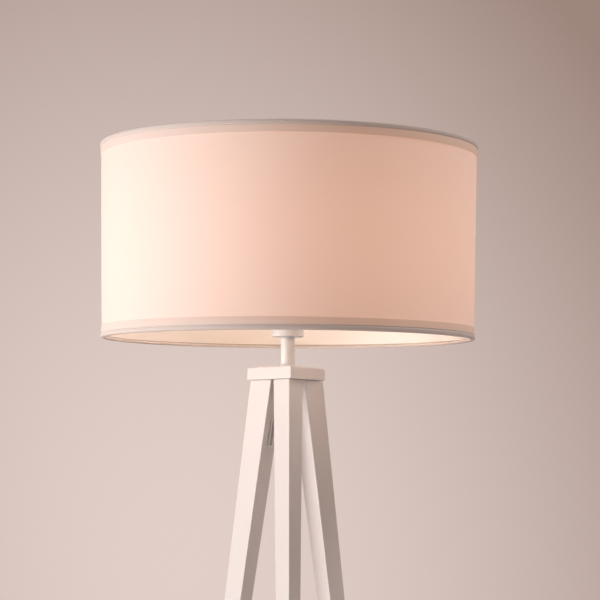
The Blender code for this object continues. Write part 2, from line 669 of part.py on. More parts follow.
def add_bulb(metal, glass_black, plastic, opal, board_white):
    cap = BULB_CAP_DIAMETER / 2
    tip = BULB_TIP_DIAMETER / 2
    add_turned("bulb_tip", [(0.0, BULB_TIP_Z), (tip / 2, BULB_TIP_Z), (tip, BULB_TIP_Z + BULB_TIP_HEIGHT),
                            (0.0, BULB_TIP_Z + BULB_TIP_HEIGHT)], glass_black)
    cone_top = BULB_CAP_Z + BULB_CAP_CONE
    wall = BULB_CAP_WALL
    top = BULB_CAP_Z + BULB_CAP_HEIGHT
    add_turned("bulb_cap", [(0.0, BULB_CAP_Z), (tip, BULB_CAP_Z), (cap, cone_top), (cap, top),
                            (cap - wall, top), (cap - wall, cone_top + wall),
                            (tip, BULB_CAP_Z + wall), (0.0, BULB_CAP_Z + wall)], metal)
    wide = BULB_BODY_DIAMETER / 2
    seat = BULB_BOARD_DIAMETER / 2 + GAP
    floor = BULB_BODY_TOP_Z - 2 * BULB_BOARD_THICKNESS
    body = [(0.0, BULB_BODY_Z), (cap, BULB_BODY_Z)]
    for rise, widening in BULB_BODY_FLARE:
        body.append((cap + widening * (wide - cap), BULB_BODY_Z + rise * BULB_BODY_HEIGHT))
    body += [(wide, BULB_BODY_TOP_Z), (seat, BULB_BODY_TOP_Z), (seat, floor), (0.0, floor)]
    add_turned("bulb_body", body, plastic, sides=HOLDER_ROUND)
    add_turned("bulb_led_board", disc_profile(BULB_BOARD_DIAMETER / 2, floor + GAP,
                                              floor + GAP + BULB_BOARD_THICKNESS), board_white, sides=HOLDER_ROUND)
    add_bulb_globe(opal)


def add_bulb_globe(opal):
    """Opal dome, open below, with the sphere's middle above the body's rim."""
    globe = BULB_GLOBE_DIAMETER / 2
    wide = BULB_BODY_DIAMETER / 2
    low = BULB_BODY_TOP_Z + GAP
    centre = low + math.sqrt(globe ** 2 - wide ** 2)
    start = -math.acos(wide / globe)
    steps = 6
    angles = [start + (math.pi / 2 - start) * i / steps for i in range(steps + 1)]
    inner = globe - BULB_GLOBE_WALL
    outside = [(globe * math.cos(a), centre + globe * math.sin(a)) for a in angles[:-1]]
    outside.append((0.0, centre + globe))
    inside_start = -math.acos((wide - BULB_GLOBE_WALL) / inner)
    inside_start = max(inside_start, math.asin((low - centre) / inner))
    inside_angles = [inside_start + (math.pi / 2 - inside_start) * i / steps for i in range(steps + 1)]
    inside = [(inner * math.cos(a), centre + inner * math.sin(a)) for a in inside_angles[:-1]]
    inside[0] = (inside[0][0], low)
    inside.append((0.0, centre + inner))
    add_turned("bulb_globe", outside + inside[::-1], opal, sides=HOLDER_ROUND)


# ---- shade -------------------------------------------------------------------------------------

def shade_radii():
    """Outer radii of the shade's layers, from the tape inwards."""
    tape_out = SHADE_DIAMETER / 2
    fabric_out = tape_out - TAPE - GAP
    liner_out = fabric_out - FABRIC - GAP
    hoop = liner_out - LINER - GAP - HOOP_WIRE / 2
    tuck_out = hoop - HOOP_WIRE / 2 - GAP
    return tape_out, fabric_out, liner_out, hoop, tuck_out


def add_drum(fabric, liner):
    _, fabric_out, liner_out, _, _ = shade_radii()
    low = RIM_Z + TAPE + GAP
    high = SHADE_TOP_Z - TAPE - GAP
    add_turned("shade_fabric", ring_profile(fabric_out - FABRIC, fabric_out, low, high), fabric, DRUM_ROUND)
    add_turned("shade_liner", ring_profile(liner_out - LINER, liner_out, low, high), liner, DRUM_ROUND)


def add_tape(name, rim_z, inward, tape):
    """Folded tape round a rim: a band outside, over the edge, and tucked in behind the hoop."""
    tape_out, _, _, _, tuck_out = shade_radii()
    profile = [(tape_out, rim_z), (tape_out, rim_z + inward * TAPE_BAND),
               (tape_out - TAPE, rim_z + inward * TAPE_BAND), (tape_out - TAPE, rim_z + inward * TAPE),
               (tuck_out, rim_z + inward * TAPE), (tuck_out, rim_z + inward * TAPE_TUCK),
               (tuck_out - TAPE, rim_z + inward * TAPE_TUCK), (tuck_out - TAPE, rim_z)]
    return add_turned(name, profile, tape, DRUM_ROUND)


def add_spider(wire_look):
    """Hub, arms and lower hoop, welded into one piece."""
    _, _, _, hoop, _ = shade_radii()
    hoop_z = RIM_Z + TAPE + GAP + HOOP_WIRE / 2
    spider = add_turned("shade_spider", wire_profile(hoop, hoop_z, HOOP_WIRE), wire_look, DRUM_ROUND)
    hub_low = HUB_Z - HUB_THICKNESS / 2 + GAP
    hub_high = HUB_Z + HUB_THICKNESS / 2
    hub = add_turned("weld_hub", ring_profile(SLEEVE_DIAMETER / 2 + HUB_CLEARANCE, HUB_DIAMETER / 2,
                                              hub_low, hub_high), wire_look, HOLDER_ROUND)
    arm_root = (CUP_DIAMETER + HUB_DIAMETER) / 4
    arm_root_z = hub_low - ARM_WIRE / 2 + ARM_WELD
    arm_end_z = hoop_z + HOOP_WIRE / 2 + ARM_WIRE / 2 - ARM_WELD
    for i in range(ARM_COUNT):
        angle = math.pi / 2 + ARM_TURN + math.tau * i / ARM_COUNT
        start = polar(arm_root, angle) + Vector((0, 0, arm_root_z))
        end = polar(hoop, angle) + Vector((0, 0, arm_end_z))
        arm = add_rod(f"weld_arm_{i}", start, end, ARM_WIRE, wire_look, sides=ARM_ROUND)
        add_boolean(spider, arm, "UNION")
    add_boolean(spider, hub, "UNION")
    return spider


def add_top_hoop(wire_look):
    _, _, _, hoop, _ = shade_radii()
    hoop_z = SHADE_TOP_Z - TAPE - GAP - HOOP_WIRE / 2
    return add_turned("shade_top_hoop", wire_profile(hoop, hoop_z, HOOP_WIRE), wire_look, DRUM_ROUND)


# ---- the lamp ----------------------------------------------------------------------------------

def build_lamp():
    clear_scene()
    paint = make_material("white_paint", (0.84, 0.80, 0.77), 0.42)
    metal_paint = make_material("white_metal_paint", (0.86, 0.82, 0.79), 0.35)
    holder_plastic = make_material("holder_plastic", (0.88, 0.83, 0.78), 0.40)
    rubber = make_material("foot_rubber", (0.30, 0.28, 0.27), 0.85)
    steel = make_material("zinc_steel", (0.62, 0.62, 0.62), 0.35, 1.0)
    brass = make_material("brass", (0.76, 0.60, 0.30), 0.35, 1.0)
    beech = make_material("beech_dowel", (0.66, 0.48, 0.30), 0.60)
    ceramic = make_material("insulator_ceramic", (0.85, 0.83, 0.79), 0.35)
    cap_metal = make_material("bulb_cap_metal", (0.75, 0.75, 0.74), 0.30, 1.0)
    black_glass = make_material("bulb_black_glass", (0.05, 0.05, 0.05), 0.30)
    opal = make_material("opal_globe", (0.95, 0.90, 0.82), 0.45)
    board = make_material("led_board", (0.85, 0.85, 0.83), 0.50)
    grommet_plastic = make_material("grommet_plastic", (0.62, 0.57, 0.53), 0.40)
    fabric = make_material("shade_fabric", (0.87, 0.76, 0.70), 0.90)
    liner = make_material("shade_liner", (0.92, 0.84, 0.76), 0.50)
    tape = make_material("shade_tape", (0.83, 0.73, 0.67), 0.90)
    wire_look = make_material("white_wire", (0.86, 0.82, 0.78), 0.45)
    cutter_look = make_material("cutter", (0.20, 0.20, 0.20), 1.0)

    for side, angle in LEG_ANGLES.items():
        leg = add_leg(side, angle, paint, cutter_look)
        add_foot_pad(side, angle, rubber)
        add_leg_fasteners(side, angle, steel, brass, beech, cutter_look)
        if side == "left":
            cut_cable_way(leg, angle, cutter_look)
            add_grommet(angle, grommet_plastic)

    add_head_block(paint, cutter_look)
    add_cover_plate(metal_paint, cutter_look)
    add_centre_tube(steel, cutter_look)
    add_stem(metal_paint)
    add_cup(holder_plastic, steel, cutter_look)
    add_sleeve(holder_plastic)
    add_insulator(ceramic)
    add_contacts(brass, cutter_look)
    add_retaining_ring(holder_plastic)
    add_bulb(cap_metal, black_glass, holder_plastic, opal, board)

    add_drum(fabric, liner)
    add_tape("shade_tape_bottom", RIM_Z, 1, tape)
    add_tape("shade_tape_top", SHADE_TOP_Z, -1, tape)
    add_spider(wire_look)
    add_top_hoop(wire_look)


build_lamp()
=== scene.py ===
import math

import bmesh
import bpy
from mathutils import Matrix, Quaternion, Vector, noise


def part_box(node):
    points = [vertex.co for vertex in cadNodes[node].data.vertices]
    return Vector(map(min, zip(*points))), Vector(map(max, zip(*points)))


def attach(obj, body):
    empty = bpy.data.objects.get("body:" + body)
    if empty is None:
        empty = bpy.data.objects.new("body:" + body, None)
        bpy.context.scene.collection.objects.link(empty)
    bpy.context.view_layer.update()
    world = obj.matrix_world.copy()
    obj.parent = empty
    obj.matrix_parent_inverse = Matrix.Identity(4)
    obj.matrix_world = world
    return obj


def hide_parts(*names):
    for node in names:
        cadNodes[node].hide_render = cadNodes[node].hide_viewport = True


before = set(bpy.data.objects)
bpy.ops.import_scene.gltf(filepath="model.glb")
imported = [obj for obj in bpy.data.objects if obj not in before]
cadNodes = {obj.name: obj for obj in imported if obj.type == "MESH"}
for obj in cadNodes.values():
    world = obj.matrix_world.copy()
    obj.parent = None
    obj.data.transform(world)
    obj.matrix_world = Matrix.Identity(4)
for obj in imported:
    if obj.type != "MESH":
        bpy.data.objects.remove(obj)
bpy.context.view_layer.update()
hairGap = 0.0003               # clearance between touching pieces
onAxis = 1e-6                  # a smaller radius than this counts as a point on the axis
tiny = 1e-5                    # slack when a radius is compared
print("frame loaded:", len(cadNodes), "parts")


# camera first
view = dict(lens=134.1, sensor=36.0, distance=3.00, bearing=2.40, height=1.1168, pitch=3.915,
            aside=0.305, roll=0.361)


def makeCamera():
    camera = bpy.data.objects.new("lampCamera", bpy.data.cameras.new("lampCamera"))
    bpy.context.scene.collection.objects.link(camera)
    camera.data.lens = view["lens"]
    camera.data.sensor_width = view["sensor"]
    bearing = math.radians(view["bearing"])
    away = view["distance"]
    camera.location = (-away * math.sin(bearing), -away * math.cos(bearing), view["height"])
    heading = bearing + math.radians(view["aside"])
    pitch = math.radians(view["pitch"])
    ahead = Vector((math.sin(heading) * math.cos(pitch), math.cos(heading) * math.cos(pitch), math.sin(pitch)))
    camera.rotation_mode = "QUATERNION"
    roll = Quaternion((0, 0, 1), math.radians(view["roll"]))
    camera.rotation_quaternion = ahead.to_track_quat("-Z", "Y") @ roll
    bpy.context.scene.camera = camera


makeCamera()


# mesh tools

def extent(node):
    # outer radius, lowest and highest point of a round part on the lamp's axis
    low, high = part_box(node)
    return (high.x - low.x) / 2, low.z, high.z


def heights(node):
    low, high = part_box(node)
    return low.z, high.z


def roundOff(corners, steps=4):
    # closed outline: a corner (a, b, radius) becomes an arc, a corner (a, b) stays sharp
    outline = []
    for i, corner in enumerate(corners):
        here = Vector(corner[:2])
        if len(corner) < 3 or corner[2] <= 0:
            outline.append(here)
            continue
        back = (Vector(corners[i - 1][:2]) - here).normalized()
        on = (Vector(corners[(i + 1) % len(corners)][:2]) - here).normalized()
        half = back.angle(on) / 2
        centre = here + (back + on).normalized() * (corner[2] / math.sin(half))
        first = here + back * (corner[2] / math.tan(half)) - centre
        last = here + on * (corner[2] / math.tan(half)) - centre
        turn = math.atan2(first.x * last.y - first.y * last.x, first.dot(last))
        start = math.atan2(first.y, first.x)
        for step in range(steps + 1):
            a = start + turn * step / steps
            outline.append(centre + Vector((math.cos(a), math.sin(a))) * corner[2])
    return outline


def skin(bm, rings, closed=False, capped=False):
    # faces between neighbouring rings of vertices, and over both ends when capped
    followers = rings[1:] + rings[:1] if closed else rings[1:]
    for ring, follower in zip(rings, followers):
        for i in range(len(ring)):
            j = (i + 1) % len(ring)
            corners = list(dict.fromkeys((ring[i], ring[j], follower[j], follower[i])))
            if len(corners) > 2:
                bm.faces.new(corners)
    if capped:
        bm.faces.new(rings[0])
        bm.faces.new(rings[-1])


def finishPiece(name, bm, material, crease=38, even=True):
    bmesh.ops.recalc_face_normals(bm, faces=bm.faces[:])
    mesh = bpy.data.meshes.new(name)
    bm.to_mesh(mesh)
    bm.free()
    mesh.shade_smooth()
    mesh.set_sharp_from_angle(angle=math.radians(crease))
    mesh.materials.append(material)
    piece = bpy.data.objects.new(name, mesh)
    bpy.context.scene.collection.objects.link(piece)
    if even:
        evenNormals = piece.modifiers.new("evenNormals", "WEIGHTED_NORMAL")
        evenNormals.keep_sharp = True
    return piece


def settle(piece, body, slot, *replaced):
    # the piece rides on its body and stands for its plain parts
    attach(piece, body)
    if replaced:
        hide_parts(*replaced)
    return piece


def turnAngles(sides):
    return [math.tau * i / sides for i in range(sides)]


def turnPiece(name, corners, material, sides=96, steps=4):
    # a closed outline of (radius, height, rounding) corners, turned about the lamp's axis
    bm = bmesh.new()
    rings = []
    for r, z in roundOff(corners, steps):
        if r < onAxis:
            rings.append([bm.verts.new((0, 0, z))] * sides)
        else:
            rings.append([bm.verts.new((r * math.cos(a), r * math.sin(a), z)) for a in turnAngles(sides)])
    skin(bm, rings, closed=True)
    return finishPiece(name, bm, material)


def wavyTurn(name, outline, radiusAt, material, sides, angles=None, crease=38):
    # a closed outline whose radius may change round the piece: radiusAt(angle, radius, height)
    bm = bmesh.new()
    angles = angles or turnAngles(sides)
    rings = []
    for r, z in outline:
        ring = []
        for a in angles:
            reach = radiusAt(a, r, z)
            ring.append(bm.verts.new((reach * math.cos(a), reach * math.sin(a), z)))
        rings.append(ring)
    skin(bm, rings, closed=True)
    return finishPiece(name, bm, material, crease, even=False)


def stackPiece(name, outlineAt, low, high, edge, material, levels=1, steps=3):
    # level outlines from outlineAt(height, inset), with the two ends' edges rounded
    bm = bmesh.new()
    rounding = [(edge * (1 - math.cos(a)), edge * (1 - math.sin(a)))
                for a in [math.pi / 2 * i / steps for i in range(steps + 1)]]
    rows = [(low + rise, inset) for rise, inset in rounding]
    rows += [(low + edge + (high - low - 2 * edge) * i / levels, 0.0) for i in range(1, levels)]
    rows += [(high - rise, inset) for rise, inset in reversed(rounding)]
    rings = [[bm.verts.new(point) for point in outlineAt(z, inset)] for z, inset in rows]
    skin(bm, rings, capped=True)
    return finishPiece(name, bm, material)


def cutAway(piece, cutter):
    # one Boolean cut, applied, and the cutter thrown away
    cut = piece.modifiers.new("cut", "BOOLEAN")
    cut.operation = "DIFFERENCE"
    cut.material_mode = "TRANSFER"
    cut.object = cutter
    piece.modifiers.move(len(piece.modifiers) - 1, 0)
    bpy.context.view_layer.update()
    graph = bpy.context.evaluated_depsgraph_get()
    evenNormals = piece.modifiers["evenNormals"]
    evenNormals.show_viewport = False
    graph.update()
    mesh = bpy.data.meshes.new_from_object(piece.evaluated_get(graph))
    piece.modifiers.remove(piece.modifiers["cut"])
    piece.data = mesh
    evenNormals.show_viewport = True
    bpy.data.objects.remove(cutter)


def spun(radial, across, bearing, z):
    # a point given by its distance from the axis and across, seen from a bearing
    return Vector((radial * math.cos(bearing) - across * math.sin(bearing),
                   radial * math.sin(bearing) + across * math.cos(bearing), z))


def mix(a, b, share):
    return a + (b - a) * share


# shader groups, shared by the finishes

def newGroup(name, inputs, outputs):
    group = bpy.data.node_groups.new(name, "ShaderNodeTree")
    for label, value in inputs:
        socket = group.interface.new_socket(name=label, in_out="INPUT", socket_type="NodeSocketFloat")
        socket.default_value = value
    for label in outputs:
        group.interface.new_socket(name=label, in_out="OUTPUT", socket_type="NodeSocketFloat")
    return group, group.nodes.new("NodeGroupInput").outputs, group.nodes.new("NodeGroupOutput").inputs


def fill(tree, node, settings):
    # a setting is the node's own attribute or, with a capital, one of its sockets
    for label, value in settings.items():
        if label[0].islower():
            setattr(node, label, value)
        elif isinstance(value, bpy.types.NodeSocket):
            tree.links.new(value, node.inputs[label.replace("_", " ")])
        else:
            node.inputs[label.replace("_", " ")].default_value = value
    return node


def put(tree, kind, **settings):
    return fill(tree, tree.nodes.new("ShaderNode" + kind), settings)


def objectPoint(tree):
    return put(tree, "TexCoord").outputs["Object"]


def splitPoint(tree):
    # the object point's X, Y and Z
    return put(tree, "SeparateXYZ", Vector=objectPoint(tree)).outputs


def sums(tree, operation, *terms):
    # a Math node, from sockets or plain numbers
    node = tree.nodes.new("ShaderNodeMath")
    node.operation = operation
    for i, term in enumerate(terms):
        if isinstance(term, bpy.types.NodeSocket):
            tree.links.new(term, node.inputs[i])
        else:
            node.inputs[i].default_value = term
    return node.outputs[0]


def ramped(tree, value, low, high, start=0.0, end=1.0):
    return put(tree, "MapRange", interpolation_type="SMOOTHSTEP", Value=value, From_Min=low, From_Max=high,
               To_Min=start, To_Max=end).outputs["Result"]


def perSize(tree, size):
    # a noise scale from the size of its features
    return sums(tree, "DIVIDE", 1.0, size)


def fromAxis(tree, x, y):
    # distance from the lamp's axis
    return sums(tree, "SQRT", sums(tree, "ADD", sums(tree, "MULTIPLY", x, x), sums(tree, "MULTIPLY", y, y)))


def coatSkin():
    # sprayed or moulded surface: fine peel, stretched grain under it, and slow patches of tone
    group, given, out = newGroup("coatSkin", [("Peel Size", 0.002), ("Grain Size", 0.001), ("Stretch", 12.0),
                                              ("Grain Share", 0.4)], ["Height", "Tone"])
    where = objectPoint(group)
    peel = put(group, "TexNoise", Vector=where, Detail=3.0, Roughness=0.55,
               Scale=perSize(group, given["Peel Size"]))
    split = put(group, "SeparateXYZ", Vector=where).outputs
    long = sums(group, "DIVIDE", split["Z"], given["Stretch"])
    grainWhere = put(group, "CombineXYZ", X=split["X"], Y=split["Y"], Z=long)
    grain = put(group, "TexNoise", Vector=grainWhere.outputs[0], Detail=4.0, Roughness=0.6,
                Scale=perSize(group, given["Grain Size"]))
    patch = put(group, "TexNoise", Vector=where, Detail=2.0, Scale=9.0)
    grainHeight = sums(group, "MULTIPLY", grain.outputs[0], given["Grain Share"])
    height = sums(group, "ADD", peel.outputs[0], grainHeight)
    tone = sums(group, "ADD", sums(group, "MULTIPLY", patch.outputs[0], 0.65),
                sums(group, "MULTIPLY", grain.outputs[0], 0.35))
    group.links.new(height, out["Height"])
    group.links.new(tone, out["Tone"])
    return group


def edgeRub():
    # where handling has rubbed the edges: the bevelled normal against the true one, broken up by noise
    group, given, out = newGroup("edgeRub", [("Width", 0.0015), ("Amount", 1.0), ("Patch Size", 0.02)],
                                 ["Mask"])
    soft = put(group, "Bevel", samples=4, Radius=given["Width"])
    true = put(group, "NewGeometry").outputs["Normal"]
    facing = put(group, "VectorMath", operation="DOT_PRODUCT")
    group.links.new(soft.outputs[0], facing.inputs[0])
    group.links.new(true, facing.inputs[1])
    bend = sums(group, "SUBTRACT", 1.0, facing.outputs["Value"])
    patch = put(group, "TexNoise", Vector=objectPoint(group), Detail=4.0,
                Scale=perSize(group, given["Patch Size"]))
    broken = ramped(group, patch.outputs[0], 0.38, 0.66)
    worn = sums(group, "MULTIPLY", ramped(group, bend, 0.01, 0.16), broken)
    group.links.new(sums(group, "MULTIPLY", worn, given["Amount"]), out["Mask"])
    return group


def dustFall():
    # thin dust on what faces up
    group, given, out = newGroup("dustFall", [("Amount", 0.5), ("Patch Size", 0.01)], ["Mask"])
    up = put(group, "SeparateXYZ", Vector=put(group, "NewGeometry").outputs["Normal"]).outputs["Z"]
    patch = put(group, "TexNoise", Vector=objectPoint(group), Detail=5.0,
                Scale=perSize(group, given["Patch Size"]))
    fallen = sums(group, "MULTIPLY", ramped(group, up, 0.35, 0.95), ramped(group, patch.outputs[0], 0.3, 0.75))
    group.links.new(sums(group, "MULTIPLY", fallen, given["Amount"]), out["Mask"])
    return group


def drumWeave():
    # plain weave round a drum: warp runs up, weft runs round, with thick and thin threads
    group, given, out = newGroup("drumWeave", [("Thread Size", 0.0005), ("Drum Radius", 0.25), ("Slub", 0.5)],
                                 ["Height", "Tone"])
    split = splitPoint(group)
    angle = sums(group, "ARCTAN2", split["Y"], split["X"])
    run = sums(group, "DIVIDE", sums(group, "MULTIPLY", angle, given["Drum Radius"]), given["Thread Size"])
    rise = sums(group, "DIVIDE", split["Z"], given["Thread Size"])
    across = sums(group, "SINE", sums(group, "MULTIPLY", run, math.pi))
    up = sums(group, "SINE", sums(group, "MULTIPLY", rise, math.pi))
    over = sums(group, "MULTIPLY", across, up)
    threads = []
    for acrossShare, upShare in ((0.012, 0.9), (0.9, 0.012)):      # weft, then warp
        where = put(group, "CombineXYZ", X=sums(group, "MULTIPLY", run, acrossShare),
                    Y=sums(group, "MULTIPLY", rise, upShare))
        thread = put(group, "TexNoise", noise_dimensions="2D", Vector=where.outputs[0], Scale=1.0, Detail=2.0)
        threads.append(thread.outputs[0])
    uneven = sums(group, "SUBTRACT", sums(group, "ADD", *threads), 1.0)
    slub = sums(group, "MULTIPLY", uneven, given["Slub"])
    group.links.new(sums(group, "ADD", sums(group, "MULTIPLY", over, 0.5), slub), out["Height"])
    group.links.new(sums(group, "ADD", 0.5, slub), out["Tone"])
    return group


def bulbGlow():
    # how brightly the bulb's light comes through the drum at each height
    group, given, out = newGroup("bulbGlow", [("Bulb Height", 1.38), ("Reach", 0.2)], ["Mask"])
    away = sums(group, "SUBTRACT", splitPoint(group)["Z"], given["Bulb Height"])
    away = sums(group, "DIVIDE", away, given["Reach"])
    fall = sums(group, "DIVIDE", 1.0, sums(group, "ADD", 1.0, sums(group, "MULTIPLY", away, away)))
    group.links.new(fall, out["Mask"])
    return group


def latheLines():
    # fine turning marks round a metal piece, with slow spots of tarnish
    group, given, out = newGroup("latheLines", [("Line Size", 0.0002), ("Spot Size", 0.006)],
                                 ["Height", "Tone"])
    split = splitPoint(group)
    lines = put(group, "TexNoise", noise_dimensions="1D", Detail=3.0, Scale=1.0,
                W=sums(group, "DIVIDE", split["Z"], given["Line Size"]))
    spots = put(group, "TexNoise", Vector=objectPoint(group), Detail=4.0,
                Scale=perSize(group, given["Spot Size"]))
    group.links.new(lines.outputs[0], out["Height"])
    group.links.new(spots.outputs[0], out["Tone"])
    return group


groups = dict(coatSkin=coatSkin(), edgeRub=edgeRub(), dustFall=dustFall(), drumWeave=drumWeave(),
              bulbGlow=bulbGlow(), latheLines=latheLines())
print("shader groups ready")


# finishes

def newFinish(name, roughness, **fixed):
    # a Principled material: fixed values go on the shader's own sockets
    material = bpy.data.materials.new(name)
    material.use_nodes = True
    shader = material.node_tree.nodes["Principled BSDF"]
    fill(material.node_tree, shader, dict(Roughness=roughness, **fixed))
    return material, material.node_tree, shader


def useGroup(tree, name, **values):
    node = tree.nodes.new("ShaderNodeGroup")
    node.node_tree = groups[name]
    return fill(tree, node, values).outputs


def blendColour(tree, share, first, second):
    node = tree.nodes.new("ShaderNodeMix")
    node.data_type = "RGBA"
    tree.links.new(share, node.inputs["Factor"])
    for socket, colour in ((node.inputs[6], first), (node.inputs[7], second)):
        if isinstance(colour, bpy.types.NodeSocket):
            tree.links.new(colour, socket)
        else:
            socket.default_value = (*colour, 1.0)
    return node.outputs[2]


def addBump(tree, shader, height, depth, strength=1.0):
    bump = put(tree, "Bump", Strength=strength, Distance=depth)
    tree.links.new(height, bump.inputs["Height"])
    tree.links.new(bump.outputs[0], shader.inputs["Normal"])


def coated(name, colour, shadeColour, worn, dust, roughness, peel, grain, grainShare, depth,
           stretch=1.0, rubWidth=0.0008, rubAmount=0.5, dustAmount=0.35, **fixed):
    # painted or moulded finish: tone, rubbed edges, dust, and roughness that follows them
    material, tree, shader = newFinish(name, roughness, **fixed)
    coat = useGroup(tree, "coatSkin", Peel_Size=peel, Grain_Size=grain, Stretch=stretch, Grain_Share=grainShare)
    rub = useGroup(tree, "edgeRub", Width=rubWidth, Amount=rubAmount)
    fall = useGroup(tree, "dustFall", Amount=dustAmount)
    toned = blendColour(tree, ramped(tree, coat["Tone"], 0.3, 0.7), colour, shadeColour)
    rubbed = blendColour(tree, rub["Mask"], toned, worn)
    dusted = blendColour(tree, fall["Mask"], rubbed, dust)
    tree.links.new(dusted, shader.inputs["Base Color"])
    matt = sums(tree, "MULTIPLY_ADD", coat["Tone"], 0.12, roughness - 0.06)
    tree.links.new(sums(tree, "MULTIPLY_ADD", fall["Mask"], 0.3, matt), shader.inputs["Roughness"])
    addBump(tree, shader, coat["Height"], depth)
    return material


def turnedMetal(name, colour, tarnish, roughness, line, depth):
    material, tree, shader = newFinish(name, roughness, Metallic=1.0)
    marks = useGroup(tree, "latheLines", Line_Size=line)
    tree.links.new(blendColour(tree, ramped(tree, marks["Tone"], 0.35, 0.75), colour, tarnish),
                   shader.inputs["Base Color"])
    tree.links.new(sums(tree, "MULTIPLY_ADD", marks["Tone"], 0.2, roughness - 0.1), shader.inputs["Roughness"])
    addBump(tree, shader, marks["Height"], depth)
    return material


whiteLacquer = coated("whiteLacquer", (0.83, 0.79, 0.765), (0.81, 0.765, 0.735), (0.88, 0.85, 0.83),
                      (0.70, 0.66, 0.62), roughness=0.42, peel=0.0028, grain=0.0011, stretch=26.0,
                      grainShare=0.8, rubWidth=0.0018, depth=0.00005, Coat_Weight=0.12, Coat_Roughness=0.35)
# bore and slot walls: raw wood painted near black, as painted shade deep in the hole
paintedShadeBore = coated("paintedShadeBore", (0.045, 0.038, 0.033), (0.030, 0.025, 0.022), (0.06, 0.05, 0.045),
                   (0.08, 0.07, 0.06), roughness=0.8, peel=0.0030, grain=0.0010, stretch=20.0,
                   grainShare=0.9, rubWidth=0.0018, depth=0.0001)
whiteEnamel = coated("whiteEnamel", (0.85, 0.84, 0.835), (0.83, 0.815, 0.81), (0.88, 0.87, 0.86),
                     (0.70, 0.66, 0.62), roughness=0.34, peel=0.0016, grain=0.0008,
                     grainShare=0.3, depth=0.00003, Coat_Weight=0.2, Coat_Roughness=0.25)
holderPlastic = coated("holderPlastic", (0.88, 0.87, 0.86), (0.86, 0.845, 0.835), (0.89, 0.88, 0.87),
                       (0.68, 0.64, 0.60), roughness=0.40, peel=0.0007, grain=0.0005,
                       grainShare=0.5, depth=0.00002)
grommetNylon = coated("grommetNylon", (0.93, 0.92, 0.91), (0.91, 0.90, 0.89), (0.94, 0.93, 0.92),
                      (0.82, 0.80, 0.78), roughness=0.30, peel=0.0007, grain=0.0005,
                      grainShare=0.5, depth=0.00002)
footRubber = coated("footRubber", (0.045, 0.043, 0.042), (0.07, 0.066, 0.063), (0.12, 0.115, 0.11),
                    (0.30, 0.28, 0.26), roughness=0.82, peel=0.0009, grain=0.0006,
                    grainShare=0.7, rubWidth=0.0018, depth=0.00006, rubAmount=0.7)
hoopWhite = coated("hoopWhite", (0.80, 0.78, 0.76), (0.77, 0.745, 0.72), (0.84, 0.82, 0.80),
                   (0.68, 0.64, 0.60), roughness=0.36, peel=0.0012, grain=0.0008,
                   grainShare=0.4, depth=0.00003, rubWidth=0.0007)
steatite = coated("steatite", (0.82, 0.80, 0.75), (0.76, 0.74, 0.69), (0.86, 0.84, 0.80),
                  (0.62, 0.59, 0.55), roughness=0.62, peel=0.0011, grain=0.0004,
                  grainShare=0.9, depth=0.00005)
bulbPlastic = coated("bulbPlastic", (0.82, 0.81, 0.79), (0.79, 0.78, 0.76), (0.85, 0.84, 0.82),
                     (0.66, 0.63, 0.6), roughness=0.33, peel=0.0009, grain=0.0005,
                     grainShare=0.4, depth=0.00002)
beechPeg = coated("beechPeg", (0.62, 0.42, 0.25), (0.50, 0.32, 0.18), (0.68, 0.48, 0.30),
                  (0.58, 0.46, 0.33), roughness=0.66, peel=0.0008, grain=0.0005, stretch=18.0,
                  grainShare=1.6, depth=0.00008, rubWidth=0.0007)
zincPlate = turnedMetal("zincPlate", (0.62, 0.62, 0.60), (0.45, 0.44, 0.40), 0.34, 0.00022, 0.00002)
rolledBrass = turnedMetal("rolledBrass", (0.78, 0.60, 0.30), (0.58, 0.42, 0.20), 0.30, 0.00025, 0.00002)
capNickel = turnedMetal("capNickel", (0.66, 0.64, 0.60), (0.50, 0.48, 0.44), 0.26, 0.00025, 0.00002)


def tipGlassFinish():
    # vitreous black insulator with a soldered contact in its middle
    material, tree, shader = newFinish("tipGlass", 0.18)
    split = splitPoint(tree)
    solder = ramped(tree, fromAxis(tree, split["X"], split["Y"]), 0.0030, 0.0026)
    flow = useGroup(tree, "coatSkin", Peel_Size=0.0012, Grain_Size=0.0008, Stretch=1.0, Grain_Share=0.3)
    glass = blendColour(tree, flow["Tone"], (0.012, 0.012, 0.014), (0.03, 0.028, 0.03))
    tree.links.new(blendColour(tree, solder, glass, (0.55, 0.54, 0.51)), shader.inputs["Base Color"])
    tree.links.new(solder, shader.inputs["Metallic"])
    addBump(tree, shader, flow["Height"], 0.00004)
    return material


def ledBoardFinish(bulbRadius):
    # white solder mask with a ring of yellow phosphor chips
    material, tree, shader = newFinish("ledBoard", 0.38)
    split = splitPoint(tree)
    x, y = split["X"], split["Y"]
    off = sums(tree, "SUBTRACT", fromAxis(tree, x, y), bulbRadius * 0.66)
    ring = ramped(tree, sums(tree, "ABSOLUTE", off), 0.0022, 0.0018)
    spokes = sums(tree, "COSINE", sums(tree, "MULTIPLY", sums(tree, "ARCTAN2", y, x), 9.0))
    chips = sums(tree, "MULTIPLY", ring, ramped(tree, spokes, 0.45, 0.6))
    mask = useGroup(tree, "coatSkin", Peel_Size=0.0015, Grain_Size=0.0006, Stretch=1.0, Grain_Share=0.3)
    board = blendColour(tree, mask["Tone"], (0.86, 0.86, 0.84), (0.80, 0.80, 0.78))
    tree.links.new(blendColour(tree, chips, board, (0.85, 0.62, 0.12)), shader.inputs["Base Color"])
    addBump(tree, shader, sums(tree, "ADD", chips, mask["Height"]), 0.00015)
    return material


